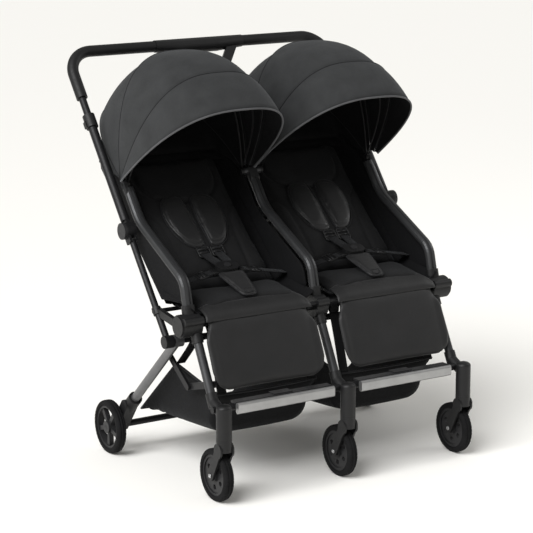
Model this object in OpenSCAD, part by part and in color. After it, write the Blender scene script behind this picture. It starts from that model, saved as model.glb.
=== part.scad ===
// Side by side double stroller: folding tube frame, two bucket seats, two fan canopies,
// two baskets, three swivelling front casters and two rear wheels.
// X runs to the stroller's right as seen in front of it, the front faces -Y, the floor is Z = 0.

/* [Frame layout] */
// Distance from the middle rail to an outer rail
rail_pitch = 346; // [320:1:380]
// Side gap between a rail and the upright beside it
side_gap = 2; // [1:0.5:6]
// Main hub: place along the stroller, behind the origin when positive
hub_y = -182; // [-200:1:-160]
// Main hub: height of its centre
hub_z = 392; // [370:1:420]
// Fold hub of the uprights: place along the stroller
fold_hub_y = 60; // [40:1:80]
// Fold hub of the uprights: height of its axis
fold_hub_z = 572; // [550:1:600]
// Slope of the uprights, in degrees above the floor
handle_angle = 51.4; // [48:0.1:56]
// Length of an upright below its fold hub
lower_upright_len = 294; // [270:1:310]
// Distance from the fold hub to the push bar
handle_reach = 497; // [460:1:540]
// Distance from the push bar down to the top of an upright
bar_drop = 197; // [170:1:230]

/* [Tubes] */
// Radius of the outer uprights
upright_r = 11; // [9:0.5:13]
// Radius of the lower uprights' tubes
lower_upright_r = 8; // [7:0.5:10]
// Radius of the middle upright
mid_upright_r = 8.5; // [7:0.5:10]
// Radius of the push bar tube, which slides in the outer uprights
push_bar_r = 9; // [7:0.5:10]
// Radius of the middle stem, which slides in the middle upright
stem_r = 6.5; // [5:0.5:7]
// Radius of the front legs
front_leg_r = 10.5; // [8:0.5:12]
// Radius of the rear legs
rear_leg_r = 11; // [8:0.5:13]
// Radius of the cross tube between the main hubs
front_tube_r = 9; // [7:0.5:11]
// Radius of the cross tube that carries the rear legs
rear_tube_r = 8; // [6:0.5:9]
// Radius of the rod that carries the backrests
recline_rod_r = 5; // [4:0.5:6]
// Radius of the rod that carries the calf rests
calf_rod_r = 4; // [3:0.5:5]

/* [Seat rails] */
// Width of a seat rail, side to side
rail_w = 26; // [20:1:30]
// Thickness of a seat rail
rail_t = 20; // [14:1:21]
// Distance from the rail's top run to the axis of the upright
rail_offset = 19.2; // [17:0.1:24]
// Height of the rail's front bend above the main hub
knee_rise = 98; // [85:1:110]
// Distance of the rail's front bend behind the main hub
knee_back = 25; // [15:1:35]
// Distance of the rail's upper bend above the fold hub, along the upright
shoulder_along = 8; // [0:1:20]
// Bend radius of the rail at its front bend
knee_bend_r = 46; // [35:1:60]
// Bend radius of the rail at its upper bend
shoulder_bend_r = 110; // [80:1:130]

/* [Main hubs] */
// Radius of a main hub
hub_r = 27; // [24:1:32]
// How far a main hub reaches outside its rail
hub_outer_lip = 17; // [12:1:22]
// How far a main hub reaches inside its rail
hub_inner_lip = 6; // [5:1:9]
// Wall of the sockets on a main hub
socket_wall = 3; // [2:0.5:5]
// Length of the sockets, from the hub's centre
socket_len = 45; // [38:1:52]
// Depth at which a tube seats in its socket, from the hub's centre
socket_seat = 20; // [14:1:24]
// Radius of the cap on a main hub
hub_cap_r = 24; // [18:1:26]
// Thickness of the cap on a main hub
hub_cap_t = 4; // [2:0.5:6]

/* [Fold hubs] */
// Radius of an outer fold hub
fold_hub_r = 20; // [17:1:24]
// Radius of the middle fold hub
mid_fold_hub_r = 15; // [13:1:17]
// Thickness of the tongue inside a fold hub
tongue_t = 10; // [8:0.5:12]
// Thickness of each cheek of a fold hub
cheek_t = 6.7; // [5:0.1:8]
// Radius of the pin in a fold hub
fold_pin_r = 5; // [3:0.5:6]
// Height of the cap on an outer fold hub
fold_cap_h = 8; // [5:0.5:12]
// Distance from the fold axis to the end of a tube
fold_neck = 26; // [25:0.5:32]

/* [Handle] */
// Radius of the grip cover
grip_r = 14; // [12:0.5:17]
// Bend radius of the push bar
handle_bend_r = 65; // [50:1:80]
// Distance from the push bar down to the lower end of the grip cover
grip_drop = 131; // [115:1:145]
// Length of the push bar inside an upright
slide_hold = 110; // [90:1:140]
// Half the length of the block in the middle of the push bar
block_half = 127; // [100:1:150]
// Radius of the block at its ends
block_end_r = 15.5; // [14.5:0.5:19]
// Radius of the block where it bulges
block_mid_r = 18; // [16:0.5:24]
// How far the block bulges downward
block_drop = 5; // [2:0.5:9]
// Width of a strut under the block
strut_w = 30; // [22:1:36]
// Thickness of a strut under the block
strut_t = 14; // [10:0.5:18]
// Distance of a strut's upper end from the middle
strut_x = 97; // [80:1:105]
// Length of the struts along the handle
strut_len = 140; // [120:1:160]
// Radius of the collar at the top of an upright
collar_r = 15; // [13:0.5:19]
// Length of the collar at the top of an upright
collar_len = 34; // [25:1:50]
// Length of the fold button
button_len = 42; // [30:1:60]
// Width of the fold button
button_w = 15; // [10:0.5:20]
// Travel of the fold button
button_travel = 4; // [2:0.5:5]
// How far the fold button stands out of the block
button_proud = 5; // [4.5:0.5:8]

/* [Rear wheels and legs] */
// Radius of a rear wheel
rear_wheel_r = 66; // [60:1:75]
// Width of a rear wheel
rear_wheel_w = 24; // [18:1:30]
// Place of the rear axle along the stroller
rear_axle_y = 158; // [140:1:180]
// Distance of the leg's foot in front of the axle
bracket_run = 48; // [40:1:60]
// Height of the leg's foot above the axle
bracket_rise = 63; // [50:1:75]
// Side gap between a rear leg and the upright beside it
leg_gap = 3; // [2:0.5:6]
// Gap between a rear leg and the wheel beside it
wheel_gap = 9; // [6:0.5:14]
// Radius of the rear axle
axle_r = 8; // [6:0.5:9]
// Radius of the spindle that a rear wheel turns on
spindle_r = 6; // [4:0.5:7]
// Radius of the rear bracket around the leg
bracket_leg_r = 17; // [15:0.5:22]
// Radius of the rear bracket around the axle
bracket_axle_r = 14; // [12:0.5:18]
// Radius of the knuckle at the top of a rear leg
knuckle_r = 15; // [13:0.5:18]
// Length of the brake pedal
pedal_len = 46; // [35:1:60]
// Width of the brake pedal
pedal_w = 56; // [40:1:80]
// Distance of the brake pedal from the middle
pedal_x = 235; // [200:1:260]

/* [Front casters] */
// Radius of a front wheel
front_wheel_r = 61.5; // [55:0.5:70]
// Width of a front wheel
front_wheel_w = 24; // [18:1:28]
// Place of the caster axes along the stroller
caster_y = -316; // [-340:1:-300]
// Trail of a caster
caster_trail = 33; // [25:1:40]
// Radius of the caster housing and the fork's crown
housing_r = 18; // [16:0.5:21]
// Height of the seam between the housing and the fork
caster_seam_z = 152; // [147:1:160]
// Height of the top of the caster housing
housing_top_z = 226; // [220:1:245]
// Height of the leg's lower end
leg_foot_z = 230; // [220:1:240]
// Distance of the leg's lower end behind the caster axis
elbow_run = 48; // [42:1:58]
// How far the elbow falls from the foot of the leg to the housing
elbow_drop = 22; // [12:1:26]
// Radius of the caster stem
stem_pin_r = 6; // [4:0.5:7]
// Thickness of a fork arm
fork_t = 5; // [4:0.5:7]
// Side gap between a front wheel and a fork arm
fork_gap = 1.3; // [0.8:0.1:3]
// Radius of a fork arm at the crown
fork_top_r = 15; // [12:0.5:17]
// Radius of a fork arm at the wheel
fork_foot_r = 12; // [9:0.5:14]
// Radius of a front axle
front_axle_r = 4.5; // [3:0.5:6]

/* [Wheel details] */
// Height of a tyre
tyre_h = 13; // [9:0.5:16]
// Thickness of a wheel's rim ring
rim_ring = 6; // [4:0.5:9]
// Radius of a wheel's hub
wheel_hub_r = 15; // [12:0.5:18]
// Thickness of a wheel's disc or spokes
web_t = 12; // [8:0.5:15]
// Width of a rear wheel's spokes
spoke_w = 11; // [8:0.5:15]
// Number of spokes in a rear wheel
spoke_count = 5; // [3:1:8]
// Number of holes in a front wheel's disc
disc_hole_count = 6; // [3:1:8]
// Radius of the holes in a front wheel's disc
disc_hole_r = 6; // [3:0.5:7]

/* [Canopies] */
// Distance of the canopy pivot above the fold hub, along the upright
pivot_along = 112.5; // [100:0.5:125]
// Crown radius of the canopy at its rear edge
crown_r_rear = 295; // [285:1:320]
// Crown radius of the canopy at its middle bow
crown_r_mid = 308; // [300:1:330]
// Crown radius of the canopy at its front bow
crown_r_front = 319; // [310:1:340]
// Crown radius of the visor's rim
crown_r_rim = 343; // [330:1:365]
// Gap between the two canopies at the middle
canopy_gap = 2; // [1:0.5:8]
// How much narrower each half width is at the front bow than at the visor's rim
front_step = 4; // [3:0.5:6]
// How much narrower each half width is at the middle bow than at the front bow
mid_step = 4; // [3:0.5:6]
// How much narrower each half width is at the rear edge than at the middle bow
rear_step = 9; // [6:0.5:14]
// Thickness of the canopy cloth
cloth_t = 1.2; // [0.8:0.1:1.6]
// How far a panel's front edge lies under the next panel
panel_lap = 5; // [4:0.5:7]
// Gap between a panel's front edge and the hem above it
hem_gap = 0.8; // [0.5:0.1:1.5]
// How far the rear panel hangs in between its hoops
rear_sag = 10; // [0:1:14]
// Radius of a canopy bow
bow_r = 1.7; // [1.2:0.1:2]
// Radius of a canopy pivot pin
pivot_pin_r = 4; // [3:0.5:5]
// Radius of a bow's eye
eye_r = 9; // [7:0.5:11]
// Thickness of the tab at the top of an outer rail
pivot_tab_t = 9; // [6:0.5:11]
// How far that tab lies inside the rail's edge
pivot_tab_inset = 1; // [0.5:0.5:2]
// Length of the boss beside the middle rail
pivot_boss = 10; // [8:0.5:14]
// Thickness of a bow's eye
eye_t = 3.4; // [2:0.1:4]

/* [Seats] */
// Thickness of a seat's side panels
side_panel_t = 4; // [3:0.5:6]
// Distance of the inner side panels from the middle
inner_panel_x = 15.5; // [15.5:0.5:20]
// Gap between a seat cushion and a side panel
seat_side_gap = 18; // [17:0.5:26]
// Distance from the fold hub down the upright to the backrest hinge
recline_along = 213.7; // [195:0.1:225]
// Slope of the backrest, in degrees above the floor
back_angle = 42; // [40:0.5:55]
// Length of the backrest
back_len = 430; // [400:1:450]
// Thickness of the backrest board
back_board_t = 4; // [3:0.5:6]
// Thickness of the backrest cushion
back_pad_t = 20; // [14:0.5:24]
// Distance of the backrest cushion above the hinge
back_pad_start = 52; // [45:1:70]
// Radius of the backrest's knuckles
back_knuckle_r = 9; // [7:0.5:10]
// Thickness of the seat board
seat_board_t = 4; // [3:0.5:6]
// Thickness of the seat cushion
seat_pad_t = 30; // [20:1:34]
// Length of the seat cushion
seat_pad_len = 132; // [115:1:136]
// Depth of the seams in the cushions
seam_depth = 3; // [1:0.5:5]
// Rounded edge of the cushions
pad_edge = 7; // [4:0.5:10]
// How far the sides of a cushion draw in
pad_draw = 5; // [2:0.5:8]

/* [Calf rests] */
// Distance of the calf rest's hinge in front of the main hub
calf_hinge_run = 23; // [18:1:30]
// Height of the calf rest's hinge above the main hub
calf_hinge_rise = 13; // [8:1:18]
// Length of the calf rest below its hinge
calf_len = 174; // [150:1:180]
// Thickness of the calf rest
calf_t = 24; // [16:1:28]
// Gap between a calf rest and the leg socket beside it
calf_side_gap = 1.5; // [1:0.5:6]
// Slope of the calf rest, in degrees below the floor's plane
calf_angle = 66.2; // [62:0.1:72]

/* [Harness] */
// Width of a shoulder pad
shoulder_pad_w = 62; // [50:1:66]
// Length of a shoulder pad
shoulder_pad_len = 158; // [130:1:170]
// Thickness of a shoulder pad
shoulder_pad_t = 11; // [7:0.5:14]
// Distance of a shoulder pad from the seat's middle
shoulder_pad_x = 40; // [39:1:46]
// Distance of the shoulder pads above the backrest hinge
shoulder_pad_start = 142; // [125:1:160]
// Distance of the crotch pad's foot behind the main hub
crotch_start = 12; // [6:1:24]
// Width of the crotch pad
crotch_pad_w = 58; // [46:1:62]
// Length of the crotch pad
crotch_pad_len = 100; // [80:1:110]
// Thickness of the crotch pad
crotch_pad_t = 11; // [7:0.5:14]
// Width of the buckle
buckle_w = 44; // [36:1:56]
// Length of the buckle
buckle_len = 36; // [28:1:44]
// Thickness of the buckle
buckle_t = 14; // [11:0.5:18]
// Radius of the buckle's button
buckle_button_r = 9; // [6:0.5:12]
// Travel of the buckle's button
buckle_travel = 2; // [1:0.5:3]
// Width of the webbing
webbing_w = 25; // [20:1:30]
// Thickness of the webbing
webbing_t = 2; // [1:0.5:3]

/* [Baskets] */
// Half the width of a basket at its top
basket_top_half = 136; // [125:1:140]
// Half the width of a basket at its bottom
basket_floor_half = 132; // [110:1:136]
// Thickness of a basket's walls
basket_wall = 2.5; // [1.5:0.5:4]
// Height of a basket's floor
basket_floor_z = 127; // [115:1:140]
// Place of a basket's front bottom edge
basket_front_y = -190; // [-205:1:-180]
// Length of a basket's floor
basket_len = 334; // [300:1:340]
// How far the floor falls towards the rear
basket_fall = 24; // [0:1:30]
// Height of a basket's front wall
basket_front_h = 104; // [80:1:110]
// Lean of a basket's front wall
basket_front_lean = 42; // [30:1:50]
// Height of a basket's side walls
basket_side_h = 136; // [115:1:145]
// Length of the upper edge of a basket's side walls
basket_top_len = 189; // [160:1:200]

/* [Footrests] */
// Gap between a footrest's ends and the caster housings
footrest_side_gap = 19.75; // [12:0.25:40]
// Height of a footrest's front bar
footrest_h = 26; // [20:0.5:30]
// Thickness of a footrest's front bar
footrest_bar_t = 12; // [8:0.5:16]
// Distance of a footrest's front face in front of its rod
footrest_run = 24; // [23:1:40]
// Thickness of a footrest's tread
tread_t = 5; // [3:0.5:7]
// Radius of the footrest rod
foot_rod_r = 8; // [6:0.5:10]
// Distance of the footrest rod behind the caster axis
foot_rod_back = 22; // [20:0.5:26]
// Height of the footrest rod
foot_rod_z = 219; // [214:0.5:224]
// Radius of the lugs on the footrest rod
foot_lug_r = 11; // [10:0.5:13]

/* [Folding brace] */
// Thickness of a brace link
brace_t = 6; // [4:0.5:7]
// Half the width of a brace link
brace_r = 8; // [6:0.5:10]
// Radius of a brace pin
brace_pin_r = 3.5; // [2:0.5:5]
// Distance of the brace on the rear leg from the leg's pivot
brace_rear_along = 84; // [75:1:95]
// Height of the brace on the front leg above the leg's lower end
brace_front_rise = 34; // [30:1:42]
// Distance of the brace's knee behind the caster axis
brace_knee_back = 176; // [165:1:185]
// Height of the brace's knee
brace_knee_z = 232; // [225:1:245]

/* [Fits] */
// Radial clearance of a shaft in its hole
fit = 0.05; // [0.02:0.01:0.1]
// Gap between pieces that move past each other
run_gap = 0.3; // [0.2:0.05:0.6]
// Overrun of a cut past the face that it opens
over = 1; // [0.5:0.5:3]

/* [Hidden] */
$fn = 48;
hull_fn = 32;
rail_flat_count = 6;
rail_step_count = 6;

function unit(v) = v / norm(v);
function left_of(v) = [-v[1], v[0]];
function right_of(v) = [v[1], -v[0]];
function polar(a) = [cos(a), sin(a)];
function spread(list) = concat([for (i = [len(list) - 1 : -1 : 1]) -list[i]], list);

// Points of the side view are [y, z]
upright_dir = polar(handle_angle);
upright_face = left_of(upright_dir);
hub = [hub_y, hub_z];
fold_hub = [fold_hub_y, fold_hub_z];
rear_pivot = fold_hub - lower_upright_len * upright_dir;
back_pivot = fold_hub - recline_along * upright_dir;
canopy_pivot = fold_hub + pivot_along * upright_dir + rail_offset * upright_face;
shoulder = fold_hub + shoulder_along * upright_dir + rail_offset * upright_face;
knee = hub + [knee_back, knee_rise];
knee_dir = unit(knee - hub);
leg_foot = [caster_y + elbow_run, leg_foot_z];
leg_dir = unit(leg_foot - hub);
calf_pivot = hub + [-calf_hinge_run, calf_hinge_rise];
rear_axle = [rear_axle_y, rear_wheel_r];
rear_foot = rear_axle + [-bracket_run, bracket_rise];
rear_dir = unit(rear_foot - rear_pivot);
seat_dir = unit(back_pivot - hub);
seat_span = norm(back_pivot - hub);
seat_slope = atan2(seat_dir[1], seat_dir[0]);
back_dir = polar(back_angle);
foot_rod = [caster_y + foot_rod_back, foot_rod_z];
front_axle = [caster_y + caster_trail, front_wheel_r];
brace_rear = rear_pivot + brace_rear_along * rear_dir;
brace_front = leg_foot + brace_front_rise / leg_dir[1] * leg_dir;
brace_knee = [caster_y + brace_knee_back, brace_knee_z];
rail_end = canopy_pivot - (eye_r + socket_wall) * upright_dir;
rail_points = [hub + socket_seat * knee_dir, knee, shoulder, rail_end];
rail_bends = [0, knee_bend_r, shoulder_bend_r, 0];
// Lengths along an upright, from its fold hub
upper_upright_len = handle_reach - bar_drop;
grip_start = handle_reach - grip_drop;

basket_front_low = [basket_front_y, basket_floor_z];
basket_rear_low = basket_front_low + [basket_len, -basket_fall];
basket_front_top = basket_front_low + [-basket_front_lean, basket_front_h];
basket_rear_top = basket_front_top + [basket_top_len, basket_side_h - basket_front_h];

// Half the width of the link between a main hub and its upright
link_share = 0.33;
link_r = hub_r * link_share;
// Floor of the fold button's pocket, behind the push bar's axis
button_floor = push_bar_r + run_gap;

// Places from side to side
rail_x = rail_pitch;
upright_x = rail_x + rail_w / 2 + side_gap + upright_r;
hub_inner_x = rail_x - rail_w / 2 - hub_inner_lip;
hub_outer_x = rail_x + rail_w / 2 + hub_outer_lip;
mid_hub_half = rail_w / 2 + socket_wall;
front_leg_x = hub_inner_x + front_leg_r;
rear_leg_x = upright_x - upright_r - leg_gap - rear_leg_r;
rear_wheel_x = rear_leg_x + rear_leg_r + wheel_gap + rear_wheel_w / 2;
seat_x = (inner_panel_x + rail_x) / 2;
seat_half = (rail_x - inner_panel_x - side_panel_t) / 2 - seat_side_gap;
calf_half = front_leg_x - front_leg_r - socket_wall - calf_side_gap - seat_x;
foot_x = front_leg_x / 2;
footrest_w = front_leg_x - 2 * (housing_r + footrest_side_gap);
fold_half = tongue_t / 2 + run_gap + cheek_t;
brace_front_x = front_leg_x - front_leg_r - run_gap - brace_t;
brace_rear_x = brace_front_x + brace_t + run_gap;

// Canopy places: the eyes of the two bows sit side by side on their pins
tab_outer = rail_w / 2 - pivot_tab_inset;
tab_x = rail_x + tab_outer - pivot_tab_t;
boss_x = rail_w / 2 + pivot_boss;
eye_step = eye_t + run_gap;
mid_eye_x = tab_x - run_gap - eye_t / 2;
mid_eye_inner_x = boss_x + run_gap + eye_t / 2;
canopy_x = (mid_eye_x + mid_eye_inner_x) / 2;
mid_bow_half = (mid_eye_x - mid_eye_inner_x) / 2;
front_bow_half = mid_bow_half - eye_step;
rim_half = canopy_x - canopy_gap / 2;
front_half = rim_half - front_step;
mid_half = front_half - mid_step;
rear_half = mid_half - rear_step;
bow_inset = 2 * eye_step;
hem_t = panel_lap - hem_gap;
mid_bow_crown = crown_r_rear - rear_sag - bow_inset;
front_bow_crown = mid_bow_crown - bow_inset;

// Angles of the canopy hoops about their pivot, above the floor's plane toward the rear
rear_hoop_angle = 34;
mid_hoop_angle = 84;
front_hoop_angle = 121;
rim_hoop_angle = 144;
hoop_gap_angle = 0.25;
hoop_power = 2.7;
hoop_row_count = 3;
hoop_step_count = 22;
hoop_first_angle = 1.2;
bow_first_angle = 0.4;

// Heights of the seat's layers over the line from the main hub to the backrest hinge
seat_board_base = front_tube_r + run_gap;
seat_pad_base = seat_board_base + seat_board_t + run_gap;
seat_top = seat_pad_base + seat_pad_t;
back_pad_base = back_board_t / 2 + run_gap;
back_top = back_pad_base + back_pad_t;
crotch_lift_angle = 14;
buckle_along = crotch_pad_len + buckle_len / 2 - pad_draw / 2 + run_gap;
shoulder_turn_angle = 4;

// Shares of the half width and half length at which the cushions have their mesh lines
wide_shares = spread([0, 0.3, 0.52, 0.6, 0.68, 0.86, 0.96, 1]);
long_shares = spread([0, 0.22, 0.3, 0.38, 0.6, 0.8, 0.95, 1]);
plain_shares = spread([0, 0.35, 0.65, 0.88, 0.97, 1]);
small_shares = spread([0, 0.6, 0.93, 1]);
side_seam_share = 0.6;
cross_seam_share = 0.3;
edge_share = 0.4;
corner_share = 0.05;
swell_power = 5;
corner_power = 4;
lug_share = 0.4;
seat_front_share = 0.4;
buckle_round_share = 0.4;
bulge_share = 0.4;

// Helpers

module both() {
    children();
    mirror([1, 0, 0]) children();
}

module on_side(s) {
    if (s < 0) mirror([1, 0, 0]) children();
    else children();
}

// Stands a side view sketch up: its x is Y, its y is Z, and it is drawn out along X
module side(x) {
    translate([x, 0, 0]) rotate([90, 0, 90]) children();
}

module rod(x0, x1, p, r) {
    translate([x0, p[0], p[1]]) rotate([0, 90, 0]) cylinder(r = r, h = x1 - x0);
}

// A cylinder in the side plane at x, from p to q
module tube(x, p, q, r) {
    d = q - p;
    translate([x, p[0], p[1]]) rotate([atan2(d[1], d[0]) - 90, 0, 0]) cylinder(r = r, h = norm(d));
}

module plate(x0, x1) {
    side(x0) linear_extrude(height = x1 - x0) children();
}

module capsule(p, q, r) {
    n = r * left_of(unit(q - p));
    translate(p) circle(r = r);
    translate(q) circle(r = r);
    polygon([p + n, p - n, q - n, q + n]);
}

module stadium(w, h) {
    square([w - h, h], center = true);
    translate([(w - h) / 2, 0]) circle(r = h / 2);
    translate([(h - w) / 2, 0]) circle(r = h / 2);
}

module ring(r, bore) {
    difference() {
        circle(r = r);
        circle(r = bore);
    }
}

function bend_cut(pts, bends, i) = (i == 0 || i == len(pts) - 1) ? 0 :
    bends[i] * tan(bend_turn(pts, i) / 2);
function bend_turn(pts, i) = acos(unit(pts[i] - pts[i - 1]) * unit(pts[i + 1] - pts[i]));
function bend_sign(pts, i) = sign(left_of(pts[i] - pts[i - 1]) * (pts[i + 1] - pts[i]));

// A section drawn along a flat path with round bends: section x lies in the path's plane
module bent_bar(pts, bends) {
    for (i = [0 : len(pts) - 2]) {
        d = unit(pts[i + 1] - pts[i]);
        a = pts[i] + bend_cut(pts, bends, i) * d;
        b = pts[i + 1] - bend_cut(pts, bends, i + 1) * d;
        translate([a[0], a[1], 0]) rotate([0, 0, atan2(d[1], d[0]) + 90]) rotate([90, 0, 0])
            linear_extrude(height = norm(b - a)) children();
    }
    for (i = [1 : len(pts) - 2]) {
        d = unit(pts[i] - pts[i - 1]);
        s = bend_sign(pts, i);
        a = pts[i] - bend_cut(pts, bends, i) * d;
        c = a + s * bends[i] * left_of(d);
        turn = bend_turn(pts, i);
        from = atan2(a[1] - c[1], a[0] - c[0]) - (s < 0 ? turn : 0);
        translate([c[0], c[1], 0]) rotate([0, 0, from]) rotate_extrude(angle = turn)
            translate([bends[i], 0]) children();
    }
}

// Frame of the uprights: z runs up the upright, y points to the rear
module on_upright(x) {
    translate([x, fold_hub[0], fold_hub[1]]) rotate([handle_angle - 90, 0, 0]) children();
}

// Frame of the handle's plane: x to the side, y up the uprights
module on_handle() {
    on_upright(0) rotate([90, 0, 0]) children();
}

// Frame of a seat: y runs back along the seat, z stands on it
module on_seat() {
    translate([seat_x, hub[0], hub[1]]) rotate([seat_slope, 0, 0]) children();
}

// Frame of a backrest: y runs up the backrest, z points to the front
module on_back() {
    translate([seat_x, back_pivot[0], back_pivot[1]]) rotate([back_angle, 0, 0]) children();
}

// Frame of a calf rest: y runs down the calf rest, z points to the front
module on_calf() {
    translate([seat_x, calf_pivot[0], calf_pivot[1]]) rotate([180 + calf_angle, 0, 0])
        mirror([0, 0, 1]) children();
}

function swell(s) = sqrt(max(0, 1 - pow(abs(s), swell_power)));
function in_list(v, list) = len(search(v, list)) > 0;

// A crowned cushion over z = 0 with drawn-in sides and sunk seams
module cushion(w, l, t, us, vs, seam_us, seam_vs) {
    nu = len(us);
    nv = len(vs);
    mid = t * edge_share;
    function place(u, v) = (1 - corner_share * pow(abs(u * v), corner_power))
        * [u * (w / 2 - pad_draw * (1 - v * v)), v * (l / 2 - pad_draw * (1 - u * u))];
    function seam(u, v) = (in_list(abs(u), seam_us) || in_list(abs(v), seam_vs)) ? seam_depth : 0;
    function top(u, v) = mid + pad_edge / 2
        + (t - mid - pad_edge / 2 - seam(u, v)) * swell(u) * swell(v);
    function base(u, v) = (mid - pad_edge / 2) * (1 - swell(u) * swell(v));
    tops = [for (v = vs) for (u = us) concat(place(u, v), top(u, v))];
    bases = [for (v = vs) for (u = us) concat(place(u, v), base(u, v))];
    n = nu * nv;
    rim = concat([for (i = [0 : nu - 2]) i], [for (j = [0 : nv - 2]) j * nu + nu - 1],
        [for (i = [nu - 1 : -1 : 1]) (nv - 1) * nu + i], [for (j = [nv - 1 : -1 : 1]) j * nu]);
    m = len(rim);
    faces = concat(
        [for (j = [0 : nv - 2]) for (i = [0 : nu - 2]) each let (a = j * nu + i)
            [[a, a + nu, a + 1], [a + 1, a + nu, a + nu + 1]]],
        [for (j = [0 : nv - 2]) for (i = [0 : nu - 2]) each let (a = n + j * nu + i)
            [[a, a + 1, a + nu], [a + 1, a + nu + 1, a + nu]]],
        [for (k = [0 : m - 1]) each let (a = rim[k], b = rim[(k + 1) % m])
            [[a, b, n + a], [b, n + b, n + a]]]);
    polyhedron(points = concat(tops, bases), faces = faces);
}

// Canopy cloth between two hoops about the canopy's pivot
function hoop(half, crown, t) = [half * sign(cos(t)) * pow(abs(cos(t)), 2 / hoop_power),
    crown * pow(sin(t), 2 / hoop_power)];
function about_pivot(p, a) = [p[0], p[1] * cos(a), p[1] * sin(a)];

// The cloth is as thick as its hem at its first hoop and may hang in by sag at the middle. It may start with
// a curtain that hangs from its first hoop to a foot line, given as [y, z]
module canopy_cloth(a0, a1, half0, half1, crown0, crown1, hem, sag = 0, foot = []) {
    rows = [for (j = [0 : hoop_row_count]) j / hoop_row_count];
    cols = [for (i = [0 : hoop_step_count])
        hoop_first_angle + (180 - 2 * hoop_first_angle) * i / hoop_step_count];
    nc = len(cols);
    nr = len(rows) + (len(foot) > 0 ? 1 : 0);
    n = nc * nr;
    function curtain(inset) = len(foot) == 0 ? [] : [for (t = cols) [
        hoop(seat_half - inset, crown0, t)[0], foot[0] - canopy_pivot[0] - inset, foot[1] - canopy_pivot[1]]];
    function crown_at(s) = crown0 + (crown1 - crown0) * s - 4 * sag * s * (1 - s);
    function skin(inset, edge) = concat(curtain(inset), [for (s = rows) let (d = s == 0 ? edge : inset)
        for (t = cols) about_pivot(hoop(half0 + (half1 - half0) * s - d, crown_at(s) - d, t),
            a0 + (a1 - a0) * s)]);
    rim = concat([for (i = [0 : nc - 2]) i], [for (j = [0 : nr - 2]) j * nc + nc - 1],
        [for (i = [nc - 1 : -1 : 1]) (nr - 1) * nc + i], [for (j = [nr - 1 : -1 : 1]) j * nc]);
    m = len(rim);
    faces = concat(
        [for (j = [0 : nr - 2]) for (i = [0 : nc - 2]) each let (a = j * nc + i)
            [[a, a + nc, a + 1], [a + 1, a + nc, a + nc + 1]]],
        [for (j = [0 : nr - 2]) for (i = [0 : nc - 2]) each let (a = n + j * nc + i)
            [[a, a + 1, a + nc], [a + 1, a + nc + 1, a + nc]]],
        [for (k = [0 : m - 1]) each let (a = rim[k], b = rim[(k + 1) % m])
            [[a, b, n + a], [b, n + b, n + a]]]);
    translate([canopy_x, canopy_pivot[0], canopy_pivot[1]])
        polyhedron(points = concat(skin(0, 0), skin(cloth_t, hem)), faces = faces);
}

module canopy_bow(a, half, crown) {
    cols = [for (i = [0 : hoop_step_count])
        bow_first_angle + (180 - 2 * bow_first_angle) * i / hoop_step_count];
    sides = 6;
    function rib(t, k) = let (b = 360 * k / sides) about_pivot(
        hoop(half + bow_r * cos(b), crown + bow_r * cos(b), t), a) + bow_r * sin(b) * [0, -sin(a), cos(a)];
    points = [for (t = cols) for (k = [0 : sides - 1]) rib(t, k)];
    last = hoop_step_count * sides;
    faces = concat(
        [for (i = [0 : hoop_step_count - 1]) for (k = [0 : sides - 1]) each let (p = i * sides + k,
            q = i * sides + (k + 1) % sides) [[p, q, p + sides], [q, q + sides, p + sides]]],
        [for (k = [1 : sides - 2]) [0, k + 1, k]],
        [for (k = [1 : sides - 2]) [last, last + k, last + k + 1]]);
    translate([canopy_x, canopy_pivot[0], canopy_pivot[1]]) difference() {
        union() {
            polyhedron(points = points, faces = faces);
            for (s = [-1, 1]) rod(s * half - eye_t / 2, s * half + eye_t / 2, [0, 0], eye_r);
        }
        rod(-half - eye_t, half + eye_t, [0, 0], pivot_pin_r + fit);
    }
}

// Frame

// The straight start of a rail, for the sockets
module rail_bar(x, p, q, wall) {
    side(x) bent_bar([p, q], [0, 0]) stadium_up(rail_t + 2 * wall, rail_w + 2 * wall);
}

// A stadium that is wider along its second axis
module stadium_up(w, h) {
    rotate([0, 0, 90]) stadium(h, w);
}

// A rail follows its path in short steps round the bends
function turned(v, a) = [v[0] * cos(a) - v[1] * sin(a), v[0] * sin(a) + v[1] * cos(a)];
function bend_run(pts, bends, i) = let (d = unit(pts[i] - pts[i - 1]), s = bend_sign(pts, i),
    a = pts[i] - bend_cut(pts, bends, i) * d, c = a + s * bends[i] * left_of(d), turn = s * bend_turn(pts, i))
    [for (k = [0 : rail_step_count]) let (part = turn * k / rail_step_count)
        [c + turned(a - c, part), turned(d, part)]];
function rail_path(pts, bends) = concat([[pts[0], unit(pts[1] - pts[0])]], bend_run(pts, bends, 1),
    bend_run(pts, bends, 2), [[pts[3], unit(pts[3] - pts[2])]]);
function rail_section() = [for (s = [1, -1]) for (i = [0 : rail_flat_count])
    let (a = (s > 0 ? 0 : 180) + 180 * i / rail_flat_count)
    [rail_t / 2 * cos(a), rail_t / 2 * sin(a) + s * (rail_w - rail_t) / 2]];

module seat_rail(x) {
    path = rail_path(rail_points, rail_bends);
    section = rail_section();
    n = len(section);
    last = (len(path) - 1) * n;
    points = [for (p = path) for (q = section) concat(p[0] + q[0] * left_of(p[1]), q[1])];
    faces = concat(
        [for (i = [0 : len(path) - 2]) for (k = [0 : n - 1]) each let (a = i * n + k, b = i * n + (k + 1) % n)
            [[a, a + n, b], [b, a + n, b + n]]],
        [[for (k = [0 : n - 1]) k]],
        [[for (k = [n - 1 : -1 : 0]) last + k]]);
    side(x) polyhedron(points = points, faces = faces);
}

module pivot_tab(x0, x1) {
    difference() {
        plate(x0, x1) capsule(rail_end - eye_r * upright_dir, canopy_pivot, eye_r);
        rod(x0 - over, x1 + over, canopy_pivot, pivot_pin_r + fit);
    }
}

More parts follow.
